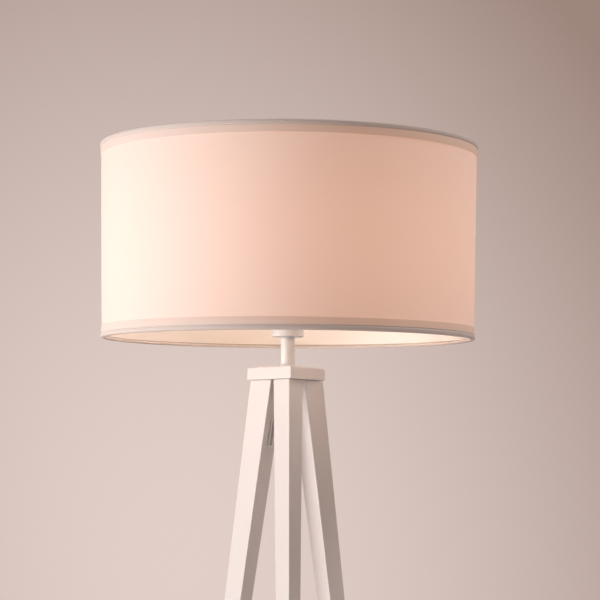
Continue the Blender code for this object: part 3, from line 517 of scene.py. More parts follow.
def opalDomeFinish(strength):
    # frosted dome, warm inside
    material, tree, shader = newFinish("opalDome", 0.45, Emission_Strength=strength)
    frost = useGroup(tree, "coatSkin", Peel_Size=0.0007, Grain_Size=0.0004, Stretch=1.0, Grain_Share=0.5)
    tree.links.new(blendColour(tree, frost["Tone"], (0.86, 0.84, 0.80), (0.82, 0.79, 0.74)),
                   shader.inputs["Base Color"])
    tree.links.new(blendColour(tree, frost["Tone"], (1.0, 0.60, 0.36), (1.0, 0.58, 0.33)),
                   shader.inputs["Emission Color"])
    addBump(tree, shader, frost["Height"], 0.00002)
    return material


bandBlur = 0.0006              # how softly a dull band ends


def shadeCloth(name, colour, deepColour, dimGlow, fullGlow, thread, slub, depth, glowReach=0.26,
               roughness=0.85, foldAndShadowBands=(), **fixed):
    # woven cotton on the drum, lit through by the bulb; the bands are (low, high, colour) with the glow off: the
    # tape's thick fold, and a painted shadow line on the liner
    material, tree, shader = newFinish(name, roughness, Emission_Strength=1.0, **fixed)
    weave = useGroup(tree, "drumWeave", Thread_Size=thread, Drum_Radius=drumRadius, Slub=slub)
    glow = useGroup(tree, "bulbGlow", Bulb_Height=glowMiddle, Reach=glowReach)
    z = splitPoint(tree)["Z"]
    toned = blendColour(tree, weave["Tone"], deepColour, colour)
    lit = sums(tree, "MULTIPLY", glow["Mask"], sums(tree, "MULTIPLY_ADD", weave["Tone"], 0.12, 0.94))
    glowing = blendColour(tree, lit, dimGlow, fullGlow)
    # each band takes its colour and puts out the glow; on the liner this paints a shadow line
    for low, high, bandColour in foldAndShadowBands:
        band = sums(tree, "MULTIPLY", ramped(tree, z, low, low + bandBlur),
                    ramped(tree, z, high, high + bandBlur, 1.0, 0.0))
        toned = blendColour(tree, band, toned, bandColour)
        glowing = blendColour(tree, band, glowing, (0.0, 0.0, 0.0))
    tree.links.new(toned, shader.inputs["Base Color"])
    tree.links.new(glowing, shader.inputs["Emission Color"])
    addBump(tree, shader, weave["Height"], depth, 0.6)
    return material


lowRim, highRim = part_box("shade_tape_bottom")[0].z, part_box("shade_tape_top")[1].z
drumRadius = extent("shade_fabric")[0]
glowMiddle = mix(*heights("bulb_globe"), 0.6)
tipGlass = tipGlassFinish()
ledBoard = ledBoardFinish(extent("bulb_led_board")[0])
opalDome = opalDomeFinish(32.0)
# the folded tape's own colour, and a painted shadow line on the liner just above the lower tape's tuck
foldedTape, paintedLinerShadow = (0.78, 0.69, 0.635), (0.55, 0.50, 0.46)
lampCotton = shadeCloth("lampCotton", (0.75, 0.695, 0.675), (0.71, 0.65, 0.62), (0.12, 0.055, 0.03),
                        (0.44, 0.215, 0.125), thread=0.00045, slub=0.28, depth=0.00012, glowReach=0.22,
                        Sheen_Weight=0.12, Sheen_Roughness=0.5)
rimTape = shadeCloth("rimTape", (0.76, 0.72, 0.69), (0.72, 0.67, 0.63), (0.03, 0.012, 0.006),
                     (0.22, 0.075, 0.015), thread=0.00042, slub=0.3, depth=0.00012,
                     Sheen_Weight=0.1, Sheen_Roughness=0.5,
                     foldAndShadowBands=[(lowRim - 0.0010, lowRim + 0.0072, foldedTape),
                                (highRim - 0.0072, highRim + 0.0010, foldedTape)])
# the liner: its band is a painted shadow line above the lower tape's tuck
linerFilm = shadeCloth("linerFilm", (0.88, 0.86, 0.84), (0.85, 0.83, 0.81), (0.05, 0.03, 0.02),
                       (0.12, 0.085, 0.06), thread=0.00060, slub=0.2, depth=0.00004, roughness=0.5,
                       foldAndShadowBands=[(lowRim + 0.0030, lowRim + 0.0052, paintedLinerShadow)])
print("finishes ready")


# legs, feet and head

legs = dict(topNose=0.0579, topBack=0.0143, topWidth=0.0400, footNose=0.2116, footBack=0.2020, footWidth=0.0140,
            edge=0.0013, endEdge=0.0009, padInset=0.0006, padEdge=0.0006,
            bearings=dict(front=-90.0, right=30.0, left=150.0))
legLow, legHigh = heights("leg_front")


def legSizes(z):
    # outer edge, inner face and width of a leg at a height
    share = (legHigh - z) / (legHigh - legLow)
    return (mix(legs["topNose"], legs["footNose"], share), mix(legs["topBack"], legs["footBack"], share),
            mix(legs["topWidth"], legs["footWidth"], share))


def legOutline(z, inset, bearing, rounding):
    nose, back, width = legSizes(z)
    depth = nose - back
    slant = math.hypot(depth, width / 2)
    noseIn = inset * slant / (width / 2)
    sideIn = inset * (slant + width / 2) / depth
    corners = [(nose - noseIn, 0.0, rounding), (back + inset, width / 2 - sideIn, rounding),
               (back + inset, sideIn - width / 2, rounding)]
    return [spun(x, y, bearing, z) for x, y in roundOff(corners, 5)]


def makeLeg(side):
    bearing = math.radians(legs["bearings"][side])
    leg = stackPiece("leg" + side.capitalize(),
                     lambda z, inset: legOutline(z, inset, bearing, legs["edge"]),
                     legLow, legHigh, legs["endEdge"], whiteLacquer, levels=24)
    return settle(leg, "stand", "painted_wood", "leg_" + side)


def makeFoot(side):
    bearing = math.radians(legs["bearings"][side])
    low, high = heights("foot_pad_" + side)
    pad = stackPiece("footPad" + side.capitalize(),
                     lambda z, inset: [Vector((p.x, p.y, z)) for p in
                                       legOutline(legLow, legs["padInset"] + inset, bearing, legs["edge"])],
                     low, high, legs["padEdge"], footRubber)
    return settle(pad, "stand", "foot_rubber", "foot_pad_" + side)


cableWay = dict(drop=0.0695, length=0.0400, width=0.0100, depth=0.0130, aside=-0.0020, lip=0.0012, proud=0.0022,
                wall=0.0014, sleeve=0.0070, bore=0.0066, outHeight=0.2200, arc=16)


def cableFrame():
    # middle of the slot's mouth on the left leg, and its directions: out of the wood, along and across
    bearing = math.radians(legs["bearings"]["left"])
    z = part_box("head_block")[0].z - cableWay["drop"]
    along = spun(legSizes(legHigh)[1], 0, bearing, legHigh) - spun(legSizes(legLow)[1], 0, bearing, legLow)
    along.normalize()
    across = Vector((0, 0, 1)).cross(spun(1, 0, bearing, 0)).normalized()
    out = across.cross(along).normalized()
    if out.dot(spun(1, 0, bearing, 0)) > 0:
        out.negate()
    return spun(legSizes(z)[1], 0, bearing, z) + across * cableWay["aside"], out, along, across


def slotRings(bm, outline):
    # round-ended rings for (height above the wood, half width) pairs
    middle, out, along, across = cableFrame()
    straight = (cableWay["length"] - cableWay["width"]) / 2
    rings = []
    for height, half in outline:
        ring = []
        for end in (1, -1):
            for step in range(cableWay["arc"] + 1):
                a = math.pi * step / cableWay["arc"]
                ring.append(bm.verts.new(middle + out * height
                                         + along * (end * (straight + half * math.sin(a)))
                                         + across * (end * half * math.cos(a))))
        rings.append(ring)
    return rings


def drillRod(start, end, diameter, finish):
    bm = bmesh.new()
    axis = end - start
    turn = axis.to_track_quat("Z", "Y")
    reach = diameter / 2
    rings = []
    for point in (start, end):
        rings.append([bm.verts.new(point + turn @ Vector((reach * math.cos(a), reach * math.sin(a), 0)))
                      for a in turnAngles(32)])
    skin(bm, rings, capped=True)
    return finishPiece("drill", bm, finish, even=False)


def cutCableWay(leg):
    # slot, a bore down the leg's heart, and its way out low on the inner face
    bm = bmesh.new()
    half = cableWay["width"] / 2 + hairGap
    rings = slotRings(bm, [(-cableWay["depth"], half), (cableWay["depth"], half)])
    skin(bm, rings, capped=True)
    # the cut walls take the cutters' near-black painted shade
    cutAway(leg, finishPiece("slotCutter", bm, paintedShadeBore, even=False))
    bearing = math.radians(legs["bearings"]["left"])
    middle, out = cableFrame()[:2]
    nose, back, width = legSizes(cableWay["outHeight"])
    depth = nose - back
    heart = back + width / 2 * depth / (width / 2 + math.hypot(depth, width / 2))
    start = middle - out * (cableWay["depth"] - cableWay["bore"] / 2)
    end = spun(heart, 0, bearing, cableWay["outHeight"])
    mouth = spun(back - cableWay["bore"], 0, bearing, cableWay["outHeight"])
    cutAway(leg, drillRod(start, end, cableWay["bore"], paintedShadeBore))
    cutAway(leg, drillRod(end, mouth, cableWay["bore"], paintedShadeBore))


def makeGrommet():
    outer = cableWay["width"] / 2
    lip = outer + cableWay["lip"]
    inner = outer - cableWay["wall"]
    proud = cableWay["proud"]
    outline = roundOff([(-cableWay["sleeve"], outer), (hairGap, outer), (hairGap, lip, 0.0003),
                        (proud, lip, 0.0010), (proud, inner, 0.0009), (-cableWay["sleeve"], inner)], 5)
    bm = bmesh.new()
    skin(bm, slotRings(bm, outline), closed=True)
    return settle(finishPiece("cableGrommet", bm, grommetNylon), "stand", "grommet_plastic", "cable_grommet")


# side, corner rounding and edge rounding of each, then what both share
head = dict(block=(0.1070, 0.0014, 0.0012), plate=(0.0810, 0.0008, 0.0002), turn=1.6, bore=0.0108, clear=0.01)


def triangleOutline(side, inset, rounding, z):
    # level triangle with one corner over each leg
    reach = side / math.sqrt(3) - 2 * inset
    corners = [(*spun(reach, 0, math.radians(bearing + head["turn"]), 0).xy, rounding)
               for bearing in legs["bearings"].values()]
    return [Vector((x, y, z)) for x, y in roundOff(corners, 6)]


def makeHead():
    for name, node, shape in (("headBlock", "head_block", "block"),
                              ("headCoverPlate", "head_cover_plate", "plate")):
        low, high = heights(node)
        side, corner, edge = head[shape]
        piece = stackPiece(name, lambda z, inset: triangleOutline(side, inset, corner, z),
                           low, high, edge, whiteLacquer, steps=4)
        cutAway(piece, drillRod(Vector((0, 0, low - head["clear"])), Vector((0, 0, high + head["clear"])),
                                head["bore"], whiteLacquer))
        settle(piece, "stand", "painted_wood", node)


for side in legs["bearings"]:
    leg = makeLeg(side)
    makeFoot(side)
    if side == "left":
        cutCableWay(leg)
makeGrommet()
makeHead()
print("stand ready")


# centre tube, nut and washer

tubeSizes = dict(bore=0.0035, pitch=0.0010, depth=0.00035, row=0.00016, nutFlats=0.0170, lockFlats=0.0140,
                 washerGap=0.0004, washerEdge=0.0004, washerBoreEdge=0.0002)
nutSizes = dict(chamfer=0.0004, cornerStart=0.985, cornerSlope=1.6,
                rows=(0.0, 0.06, 0.12, 0.2, 0.3, 0.7, 0.8, 0.88, 0.94, 1.0))


def threadedWall(name, root, depth, pitch, bore, low, high, threadLow, threadHigh, material, rows, sides=64):
    # a tube wall with a real screw thread outside, fading out at both ends of the thread
    def radiusAt(a, r, z):
        if r < root - tiny:
            return r
        fade = min(1.0, max(0.0, (z - threadLow) / pitch)) * min(1.0, max(0.0, (threadHigh - z) / pitch))
        return root + depth * fade * (0.5 - 0.5 * math.cos(math.tau * (z / pitch - a / math.tau)))
    outline = [(bore, high), (bore, low)]
    outline += [(root, mix(low, high, i / rows)) for i in range(rows + 1)]
    return wavyTurn(name, outline, radiusAt, material, sides, crease=50)


def makeNut(name, node, flats, bore):
    # hexagon with its corners taken off by a cone at both ends
    low, high = heights(node)
    apothem = flats / 2
    chamfer = nutSizes["chamfer"]

    def radiusAt(a, r, z):
        if r < apothem * 0.9:
            return r
        hexagon = apothem / math.cos((a + math.pi / 6) % (math.pi / 3) - math.pi / 6)
        end = min(z - low, high - z)
        return min(hexagon, apothem * nutSizes["cornerStart"] + end * nutSizes["cornerSlope"])
    outline = [(bore + chamfer, high), (bore, high - chamfer), (bore, low + chamfer), (bore + chamfer, low)]
    outline += [(apothem, mix(low, high, t)) for t in nutSizes["rows"]]
    nut = wavyTurn(name, outline, radiusAt, zincPlate, 144, crease=20)
    settle(nut, "stand", "zinc_steel", node)


def makeCentreTube():
    radius, low, high = extent("threaded_tube")
    tube = threadedWall("threadedTube", radius - tubeSizes["depth"], tubeSizes["depth"], tubeSizes["pitch"],
                        tubeSizes["bore"], low, high, low, high, zincPlate,
                        rows=int((high - low) / tubeSizes["row"]), sides=40)
    settle(tube, "stand", "zinc_steel", "threaded_tube")
    makeNut("tubeNut", "tube_nut", tubeSizes["nutFlats"], radius + hairGap)
    makeNut("cupLockNut", "cup_lock_nut", tubeSizes["lockFlats"], radius + hairGap)
    outer, low, high = extent("tube_washer")
    inner = radius + tubeSizes["washerGap"]
    edge = tubeSizes["washerEdge"]
    boreEdge = tubeSizes["washerBoreEdge"]
    washer = turnPiece("tubeWasher", [(inner, low, boreEdge), (outer, low, edge), (outer, high, edge),
                                      (inner, high, boreEdge)], zincPlate)
    settle(washer, "stand", "zinc_steel", "tube_washer")


makeCentreTube()


# stem and lampholder

stem = dict(wall=0.0012, bore=0.0054, tubeEdge=0.0003, collarEdge=0.0008, collarFoot=0.0003,
            spacerEdge=0.0004)
holder = dict(cupWall=0.0024, cupFloor=0.0018, cupEdge=0.0014, cupLip=0.0005, threadDepth=0.0006,
              threadPitch=0.0040, threadRows=132, sleeveWall=0.0022, sleevePlain=0.0030, sleeveEnd=0.0006,
              shellPitch=0.0036, shellDepth=0.0006, shellWall=0.0003, shellRows=80, shellFade=0.001)


def makeStem():
    # collar, tube and spacer: inner edges, then outer edges at the foot and at the top
    tube = stem["tubeEdge"]
    tubeBore = extent("stem_tube")[0] - stem["wall"]
    for name, node, bore, inside, foot, top in (
            ("stemCollar", "stem_collar", stem["bore"], 0, stem["collarFoot"], stem["collarEdge"]),
            ("stemTube", "stem_tube", tubeBore, tube, tube, tube),
            ("stemSpacer", "stem_spacer", stem["bore"], 0, stem["spacerEdge"], stem["spacerEdge"])):
        radius, low, high = extent(node)
        outline = [(bore, low, inside), (radius, low, foot), (radius, high, top), (bore, high, inside)]
        settle(turnPiece(name, outline, whiteEnamel), "stand", "painted_steel", node)


def makeCup():
    radius, low, high = extent("lampholder_cup")
    inner = radius - holder["cupWall"]
    floor = low + holder["cupFloor"]
    cup = turnPiece("lampholderCup", [(stem["bore"], low), (radius, low, holder["cupEdge"]),
                                      (radius, high, holder["cupLip"]), (inner, high, holder["cupLip"]),
                                      (inner, floor, holder["cupLip"]), (stem["bore"], floor)], holderPlastic)
    settle(cup, "stand", "holder_plastic", "lampholder_cup")


def makeSleeve():
    radius, low, high = extent("lampholder_sleeve")
    root = radius - holder["threadDepth"]
    sleeve = threadedWall("lampholderSleeve", root, holder["threadDepth"], holder["threadPitch"],
                          radius - holder["sleeveWall"], low, high, low + holder["sleevePlain"],
                          high - holder["sleeveEnd"], holderPlastic, rows=holder["threadRows"], sides=96)
    settle(sleeve, "stand", "holder_plastic", "lampholder_sleeve")


def makeScrewShell():
    # thin brass shell, rolled to the bulb's thread inside and out
    radius, low, high = extent("screw_shell")
    mid = radius - holder["shellDepth"] / 2
    rows = holder["shellRows"]

    def radiusAt(a, r, z):
        fade = min(1.0, (z - low) / holder["shellFade"], (high - z) / holder["shellFade"])
        wave = math.cos(math.tau * (z / holder["shellPitch"] - a / math.tau))
        return r + holder["shellDepth"] / 2 * max(0.0, fade) * wave
    outline = [(mid, mix(low, high, i / rows)) for i in range(rows + 1)]
    outline += [(mid - holder["shellWall"], mix(high, low, i / rows)) for i in range(rows + 1)]
    settle(wavyTurn("screwShell", outline, radiusAt, rolledBrass, 96, crease=50), "stand", "contact_brass",
           "screw_shell")


ringSizes = dict(grips=24, gripDepth=0.0011, gripStart=0.002, web=0.0030, slope=0.0008, edge=0.0006,
                 boreFoot=0.0002, waistEdge=0.0004, lipEdge=0.0005, boreTop=0.0003)


def makeRetainingRing():
    radius, low, high = extent("shade_retaining_ring")
    bore = extent("lampholder_sleeve")[0] + hairGap
    waist = (bore + radius) / 2
    web = low + ringSizes["web"]

    def radiusAt(a, r, z):
        if r < waist + ringSizes["gripStart"]:
            return r
        grip = 0.5 - 0.5 * math.cos(a * ringSizes["grips"])
        return r - ringSizes["gripDepth"] * grip ** 3
    edge = ringSizes["edge"]
    outline = roundOff([(bore, low, ringSizes["boreFoot"]), (radius, low, edge), (radius, web, edge),
                        (waist, web + ringSizes["slope"], ringSizes["waistEdge"]),
                        (waist, high, ringSizes["lipEdge"]), (bore, high, ringSizes["boreTop"])])
    ring = wavyTurn("shadeRetainingRing", outline, radiusAt, holderPlastic, 192)
    settle(ring, "retaining_ring", "holder_plastic", "shade_retaining_ring")


makeStem()
makeCup()
makeSleeve()
makeScrewShell()
makeRetainingRing()
print("stem and lampholder ready")


# bulb

bulb = dict(pitch=0.0036, threadDepth=0.0007, threadRows=88, threadFade=0.002, threadEnd=0.0015, capWall=0.0008,
            pin=0.0002, cone=0.0045, coneEdge=0.0006, tip=0.0055, tipLip=0.0004, tipEdge=0.0003,
            tipRound=0.0006, neckEdge=0.0010, neckOut=0.0012, grooveDeep=0.0004, groove=(0.0030, 0.0024, 0.0018),
            rimEdge=0.0004, seatEdge=0.0003, boardEdge=0.0002, domeWall=0.0012, domeSteps=40)


def makeBulb():
    radius, low, high = extent("bulb_tip")
    tip = turnPiece("bulbTip", [(0, low), (radius * 0.5, low, bulb["tipRound"]),
                                (radius, high - bulb["tipLip"], bulb["tipEdge"]), (radius, high), (0, high)],
                    tipGlass, sides=64)
    settle(tip, "bulb", "bulb_black_glass", "bulb_tip")
    radius, low, high = extent("bulb_cap")
    depth = bulb["threadDepth"]
    cone = low + bulb["cone"]
    rows = bulb["threadRows"]

    def capRadius(a, r, z):
        if z < cone or r < radius - depth - tiny:
            return r
        room = min(z - cone, high - bulb["threadEnd"] - z)
        fade = max(0.0, min(1.0, room / bulb["threadFade"]))
        return r + depth * fade * (0.5 - 0.5 * math.cos(math.tau * (z / bulb["pitch"] - a / math.tau)))
    root = radius - depth
    wall = bulb["capWall"]
    edge = bulb["coneEdge"]
    outline = [(bulb["pin"], low + wall), (bulb["pin"], low), (bulb["tip"], low), (root - edge, cone - edge)]
    outline += [(root, mix(cone, high, i / rows)) for i in range(rows + 1)]
    outline += [(root - wall, high), (root - wall, cone + wall), (bulb["tip"], low + wall)]
    settle(wavyTurn("bulbCap", outline, capRadius, capNickel, 96, crease=50), "bulb", "bulb_metal", "bulb_cap")
    radius, low, high = extent("bulb_body")
    neck = extent("bulb_cap")[0]
    seat = extent("bulb_led_board")[0] + hairGap
    floor = heights("bulb_led_board")[0] - hairGap
    tall = high - low
    foot, middle, top = bulb["groove"]
    rim = bulb["rimEdge"]
    body = turnPiece("bulbBody", [(0, low), (neck, low, bulb["neckEdge"]),
                                  (neck + bulb["neckOut"], low + 0.25 * tall, 0.02),
                                  (mix(neck, radius, 0.74), low + 0.72 * tall, 0.03),
                                  (radius, high - foot, 2 * rim),
                                  (radius - bulb["grooveDeep"], high - middle, 0.0001),
                                  (radius, high - top, rim), (radius, high, rim),
                                  (seat, high, bulb["seatEdge"]), (seat, floor), (0, floor)],
                     bulbPlastic, sides=128, steps=6)
    settle(body, "bulb", "bulb_opal", "bulb_body")
    radius, low, high = extent("bulb_led_board")
    edge = bulb["boardEdge"]
    board = turnPiece("bulbLedBoard", [(0, low), (radius, low, edge), (radius, high, edge), (0, high)],
                      ledBoard, sides=128)
    settle(board, "bulb", "led_board", "bulb_led_board")
    makeDome()


def makeDome():
    low, high = heights("bulb_globe")
    rim = extent("bulb_body")[0]
    rise = high - low
    ball = (rim ** 2 + rise ** 2) / (2 * rise)      # sphere through the rim and the crown
    centre = high - ball
    inner = ball - bulb["domeWall"]
    steps = bulb["domeSteps"]
    startOut = math.asin((low - centre) / ball)
    startIn = math.asin((low - centre) / inner)
    outline = [(ball * math.cos(a), centre + ball * math.sin(a))
               for a in [mix(startOut, math.pi / 2, i / steps) for i in range(steps)]]
    outline += [(0.0, high), (0.0, centre + inner)]
    outline += [(inner * math.cos(a), centre + inner * math.sin(a))
                for a in [mix(math.pi / 2, startIn, i / steps) for i in range(1, steps + 1)]]
    dome = turnPiece("bulbDome", outline, opalDome, sides=128)
    settle(dome, "bulb", "bulb_opal", "bulb_globe")


makeBulb()
print("bulb ready")


# shade

shade = dict(wallThick=0.0006, flare=0.0038, segments=288, rows=36, ripple=0.0004, still=0.020, wire=0.0030,
             seamBearing=86.7, seamWide=0.011, seamStep=0.00035, seamRow=0.0006, seamBlur=0.0008)
tape = dict(band=0.0165, thick=0.0006, beadTall=0.0058, beadProud=0.0006, grooveTall=0.0010, grooveDeep=0.0005,
            tuck=0.0030, gap=0.0001, hoopGap=0.0004, drift=0.00012)
spider = dict(boreGap=0.0006, inset=0.0010, thick=0.0017, edge=0.0006, boreEdge=0.0003, arms=3, wire=0.0032,
              turn=-3.3, sink=0.0008, bends=24, dip=0.35)


def drumAngles():
    # even steps, with extra ones where the seam's edges need them
    angles = {math.tau * i / shade["segments"] for i in range(shade["segments"])}
    seam = math.radians(shade["seamBearing"])
    half = shade["seamWide"] / 2 / drumRadius
    for edge in (-half, half):
        for i in range(-4, 5):
            angles.add(seam + edge + i * shade["seamRow"] / drumRadius)
    return sorted(angles)


def flareAt(z):
    # the drum widens a little towards its top
    return shade["flare"] * (z - lowRim) / (highRim - lowRim)


def seamLap(a):
    # 1 on the lapped strip at the back, 0 elsewhere
    off = abs((a - math.radians(shade["seamBearing"]) + math.pi) % math.tau - math.pi) * drumRadius
    return min(1.0, max(0.0, (shade["seamWide"] / 2 - off) / shade["seamBlur"] + 0.5))


def clothRipple(a, z, low, high):
    # slow unevenness of cloth laid on a drum, still near both rims
    calm = min(1.0, max(0.0, min(z - low, high - z) / shade["still"] - 0.8))
    wave = noise.noise(Vector((math.cos(a) * 3.2, math.sin(a) * 3.2, z * 7.0)))
    fine = noise.noise(Vector((math.cos(a) * 11.0, math.sin(a) * 11.0, z * 16.0)))
    return shade["ripple"] * calm * (0.5 + 0.4 * wave + 0.1 * fine)


def drumWall(name, node, lap, material):
    outer, low, high = extent(node)
    thick = shade["wallThick"]
    rows = shade["rows"]

    def radiusAt(a, r, z):
        lapped = seamLap(a) * lap if r > outer - thick / 2 else 0.0
        return r + clothRipple(a, z, low, high) + lapped + flareAt(z)
    outline = [(outer, mix(low, high, i / rows)) for i in range(rows + 1)]
    outline += [(outer - thick, mix(high, low, i / rows)) for i in range(rows + 1)]
    return wavyTurn(name, outline, radiusAt, material, 0, angles=drumAngles(), crease=60)


def rimTapePiece(name, node, rim, inward):
    # folded tape: a band on the cloth, a pressed groove, a bead over the hoop, and a tuck behind it
    outer = extent(node)[0]
    cloth = drumRadius + tape["gap"]
    bead = outer + tape["beadProud"]
    tall, band, thick, tuck = tape["beadTall"], tape["band"], tape["thick"], tape["tuck"]
    back = hoopRadius - shade["wire"] / 2 - tape["hoopGap"] - thick
    groove = tape["grooveTall"]
    corners = [(cloth, band), (outer - 0.0002, band, 0.0002), (outer, tall + groove * 1.6, 0.0008),
               (outer - tape["grooveDeep"], tall + groove * 0.5, 0.0006), (bead, tall * 0.86, 0.0012),
               (bead, 0.0004, 0.0020), (back, 0.0, 0.0018), (back, tuck, 0.0002), (back + thick, tuck, 0.0002),
               (back + thick, thick, 0.0010), (cloth, thick, 0.0004)]
    outline = [(r, rim + inward * s) for r, s in roundOff(corners, 6)]
    middle = (outer + back) / 2

    def radiusAt(a, r, z):
        lapped = seamLap(a) * shade["seamStep"] if r > middle and abs(z - rim) < band else 0.0
        drift = tape["drift"] * noise.noise(Vector((math.cos(a) * 9.0, math.sin(a) * 9.0, z * 40.0)))
        return r + lapped + (drift if r > cloth + 0.0002 else 0.0) + flareAt(z)
    return wavyTurn(name, outline, radiusAt, rimTape, 0, angles=drumAngles(), crease=60)


def wireRing(name, radius, z, wire, material):
    outline = [(radius + wire / 2 * math.cos(a), z + wire / 2 * math.sin(a))
               for a in turnAngles(16)]
    return wavyTurn(name, outline, lambda a, r, height: r, material, 256)


def sweptWire(name, points, wire, material, sides=16):
    # round wire along a path, with domed ends
    bm = bmesh.new()
    rings = []
    stations = []
    for i, point in enumerate(points):
        ahead = (points[min(i + 1, len(points) - 1)] - points[max(i - 1, 0)]).normalized()
        stations.append((point, ahead, wire / 2))
    first, last = stations[0], stations[-1]
    for step in range(1, 4):
        a = math.pi / 2 * step / 4
        stations.insert(0, (first[0] - first[1] * (wire / 2 * math.sin(a)), first[1], wire / 2 * math.cos(a)))
        stations.append((last[0] + last[1] * (wire / 2 * math.sin(a)), last[1], wire / 2 * math.cos(a)))
    for point, ahead, radius in stations:
        side = Vector((0, 0, 1)).cross(ahead).normalized()
        up = ahead.cross(side)
        rings.append([bm.verts.new(point + side * (radius * math.cos(a)) + up * (radius * math.sin(a)))
                      for a in turnAngles(sides)])
    skin(bm, rings, capped=True)
    return finishPiece(name, bm, material, even=False)


def makeSpider():
    # hub, three arms that dip to the lower hoop, and the hoop
    spiderLow, spiderTop = heights("shade_spider")
    hubBore = extent("lampholder_sleeve")[0] + spider["boreGap"]
    hubOuter = extent("shade_retaining_ring")[0] - spider["inset"]
    hubLow = spiderTop - spider["thick"]
    edge, boreEdge = spider["edge"], spider["boreEdge"]
    hub = turnPiece("spiderHub", [(hubBore, hubLow, boreEdge), (hubOuter, hubLow, edge),
                                  (hubOuter, spiderTop, edge), (hubBore, spiderTop, boreEdge)],
                    hoopWhite, sides=128)
    settle(hub, "shade", "white_wire", "shade_spider")
    hoopZ = spiderLow + shade["wire"] / 2
    settle(wireRing("spiderHoop", hoopRadius, hoopZ, shade["wire"], hoopWhite), "shade", "white_wire")
    root = (extent("lampholder_cup")[0] + hubOuter) / 2
    rootZ = hubLow - spider["wire"] / 2 + spider["sink"]
    endZ = hoopZ + shade["wire"] / 2 + spider["wire"] / 2 - spider["sink"]
    for i in range(spider["arms"]):
        bearing = math.radians(90 + spider["turn"] + 360 * i / spider["arms"])
        path = []
        for step in range(spider["bends"] + 1):
            t = step / spider["bends"]
            ease = t * t * (3 - 2 * t)
            fall = mix(t, ease, spider["dip"])
            path.append(spun(mix(root, hoopRadius, t), 0, bearing, mix(rootZ, endZ, fall)))
        arm = sweptWire("spiderArm" + str(i + 1), path, spider["wire"], hoopWhite)
        settle(arm, "shade", "white_wire")


def makeShade():
    fabric = drumWall("shadeFabric", "shade_fabric", shade["seamStep"], lampCotton)
    settle(fabric, "shade", "shade_fabric", "shade_fabric")
    liner = drumWall("shadeLiner", "shade_liner", 0.0, linerFilm)
    settle(liner, "shade", "shade_liner", "shade_liner")
    tapes = [settle(rimTapePiece("shadeTapeBottom", "shade_tape_bottom", lowRim, 1), "shade", "shade_tape",
                    "shade_tape_bottom"),
             settle(rimTapePiece("shadeTapeTop", "shade_tape_top", highRim, -1), "shade", "shade_tape",
                    "shade_tape_top")]
    hoopZ = sum(heights("shade_top_hoop")) / 2
    topHoop = wireRing("shadeTopHoop", hoopRadius + flareAt(hoopZ), hoopZ, shade["wire"], hoopWhite)
    settle(topHoop, "shade", "white_wire", "shade_top_hoop")
    makeSpider()


hoopRadius = extent("shade_top_hoop")[0] - shade["wire"] / 2
makeShade()
print("shade ready")


# parts that stay as they are, in their own finishes
keptFinishes = dict(leg_bolt=zincPlate, bolt_washer=zincPlate, leg_insert=rolledBrass, leg_dowel=beechPeg,
                    lampholder_insulator=steatite, centre_contact=rolledBrass, terminal=rolledBrass)
for name, part in cadNodes.items():
    for start, finish in keptFinishes.items():
        if name.startswith(start):
            part.data.materials.clear()
            part.data.materials.append(finish)


# floor, sky and light

pool = dict(x=-0.003, z=-0.050, wide=0.50, tall=0.66, lean=0.235, fall=1.333, most=0.72,
            lit=(0.752, 0.621, 0.576), dim=(0.175, 0.088, 0.057))
studio = dict(floorRadius=6.0, floorColour=(0.74, 0.69, 0.665), floorDark=(0.71, 0.66, 0.635),
              fill=(0.40, 0.335, 0.315), fillStrength=0.875)
lampSide = 1.2                 # both lights are squares of this size
lamps = dict(key=dict(bearing=-72.0, rise=-0.30, away=2.1, power=14.7, spread=110.0,
                      colour=(1.0, 0.945, 0.935)),
             side=dict(bearing=100.0, rise=3.4, away=2.2, power=50.0, spread=180.0,
                       colour=(1.0, 0.93, 0.89)))


def makeFloor():
    bm = bmesh.new()
    bmesh.ops.create_circle(bm, cap_ends=True, segments=96, radius=studio["floorRadius"])
    material, tree, shader = newFinish("floorPaint", 0.7)
    paint = useGroup(tree, "coatSkin", Peel_Size=0.05, Grain_Size=0.01, Stretch=1.0, Grain_Share=0.4)
    tree.links.new(blendColour(tree, paint["Tone"], studio["floorColour"], studio["floorDark"]),
                   shader.inputs["Base Color"])
    floor = finishPiece("floor", bm, material, even=False)


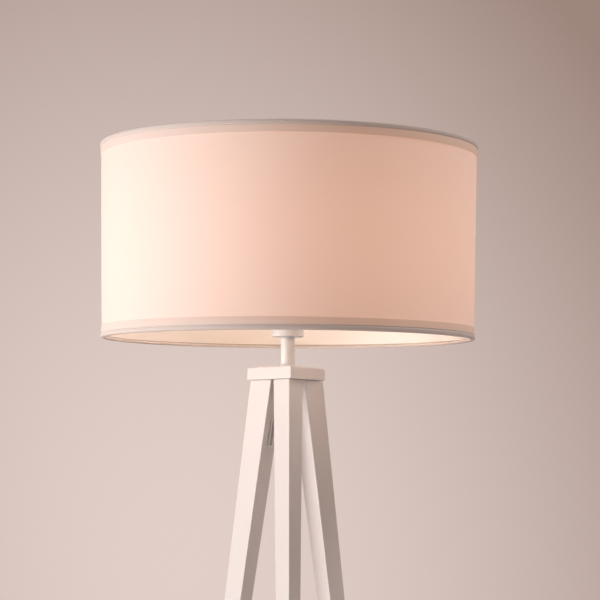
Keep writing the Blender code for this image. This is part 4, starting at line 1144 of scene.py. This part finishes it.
def makeSky():
    # what the camera sees behind the lamp shades softly across; the fill light is even
    world = bpy.data.worlds.new("studioSky")
    bpy.context.scene.world = world
    world.use_nodes = True
    tree = world.node_tree
    tree.nodes.clear()
    split = put(tree, "SeparateXYZ", Vector=put(tree, "TexCoord").outputs["Generated"])
    across = sums(tree, "DIVIDE", sums(tree, "SUBTRACT", split.outputs["X"], pool["x"]), pool["wide"])
    over = sums(tree, "DIVIDE", sums(tree, "SUBTRACT", split.outputs["Z"], pool["z"]), pool["tall"])
    away = sums(tree, "MULTIPLY_ADD", across, across, sums(tree, "MULTIPLY", over, over))
    away = sums(tree, "MULTIPLY_ADD", sums(tree, "MULTIPLY", across, over), pool["lean"], away)
    share = ramped(tree, sums(tree, "SQRT", away), 0.0, 1.0, end=pool["fall"])
    share = sums(tree, "MINIMUM", share, pool["most"])
    wall = blendColour(tree, share, pool["lit"], pool["dim"])
    seen = put(tree, "Background", Color=wall, Strength=1.0)
    fill = put(tree, "Background", Color=(*studio["fill"], 1.0), Strength=studio["fillStrength"])
    pick = put(tree, "MixShader")
    tree.links.new(put(tree, "LightPath").outputs["Is Camera Ray"], pick.inputs[0])
    tree.links.new(fill.outputs[0], pick.inputs[1])
    tree.links.new(seen.outputs[0], pick.inputs[2])
    out = put(tree, "OutputWorld")
    tree.links.new(pick.outputs[0], out.inputs["Surface"])


def makeLights():
    aim = Vector((0, 0, heights("shade_fabric")[0]))
    for name, lamp in lamps.items():
        light = bpy.data.lights.new(name + "Light", "AREA")
        light.shape = "RECTANGLE"
        light.size = light.size_y = lampSide
        light.energy = lamp["power"]
        light.color = lamp["colour"]
        light.spread = math.radians(lamp["spread"])
        lightObject = bpy.data.objects.new(name + "Light", light)
        bpy.context.scene.collection.objects.link(lightObject)
        bearing = math.radians(lamp["bearing"] - view["bearing"])
        out = Vector((math.sin(bearing), -math.cos(bearing), 0))
        lightObject.location = aim + out * lamp["away"] + Vector((0, 0, lamp["rise"]))
        lightObject.rotation_mode = "QUATERNION"
        lightObject.rotation_quaternion = (aim - lightObject.location).to_track_quat("-Z", "Y")
        lightObject.visible_camera = False


makeFloor()
makeSky()
makeLights()
bpy.context.scene.view_settings.view_transform = "Standard"
print("light ready")
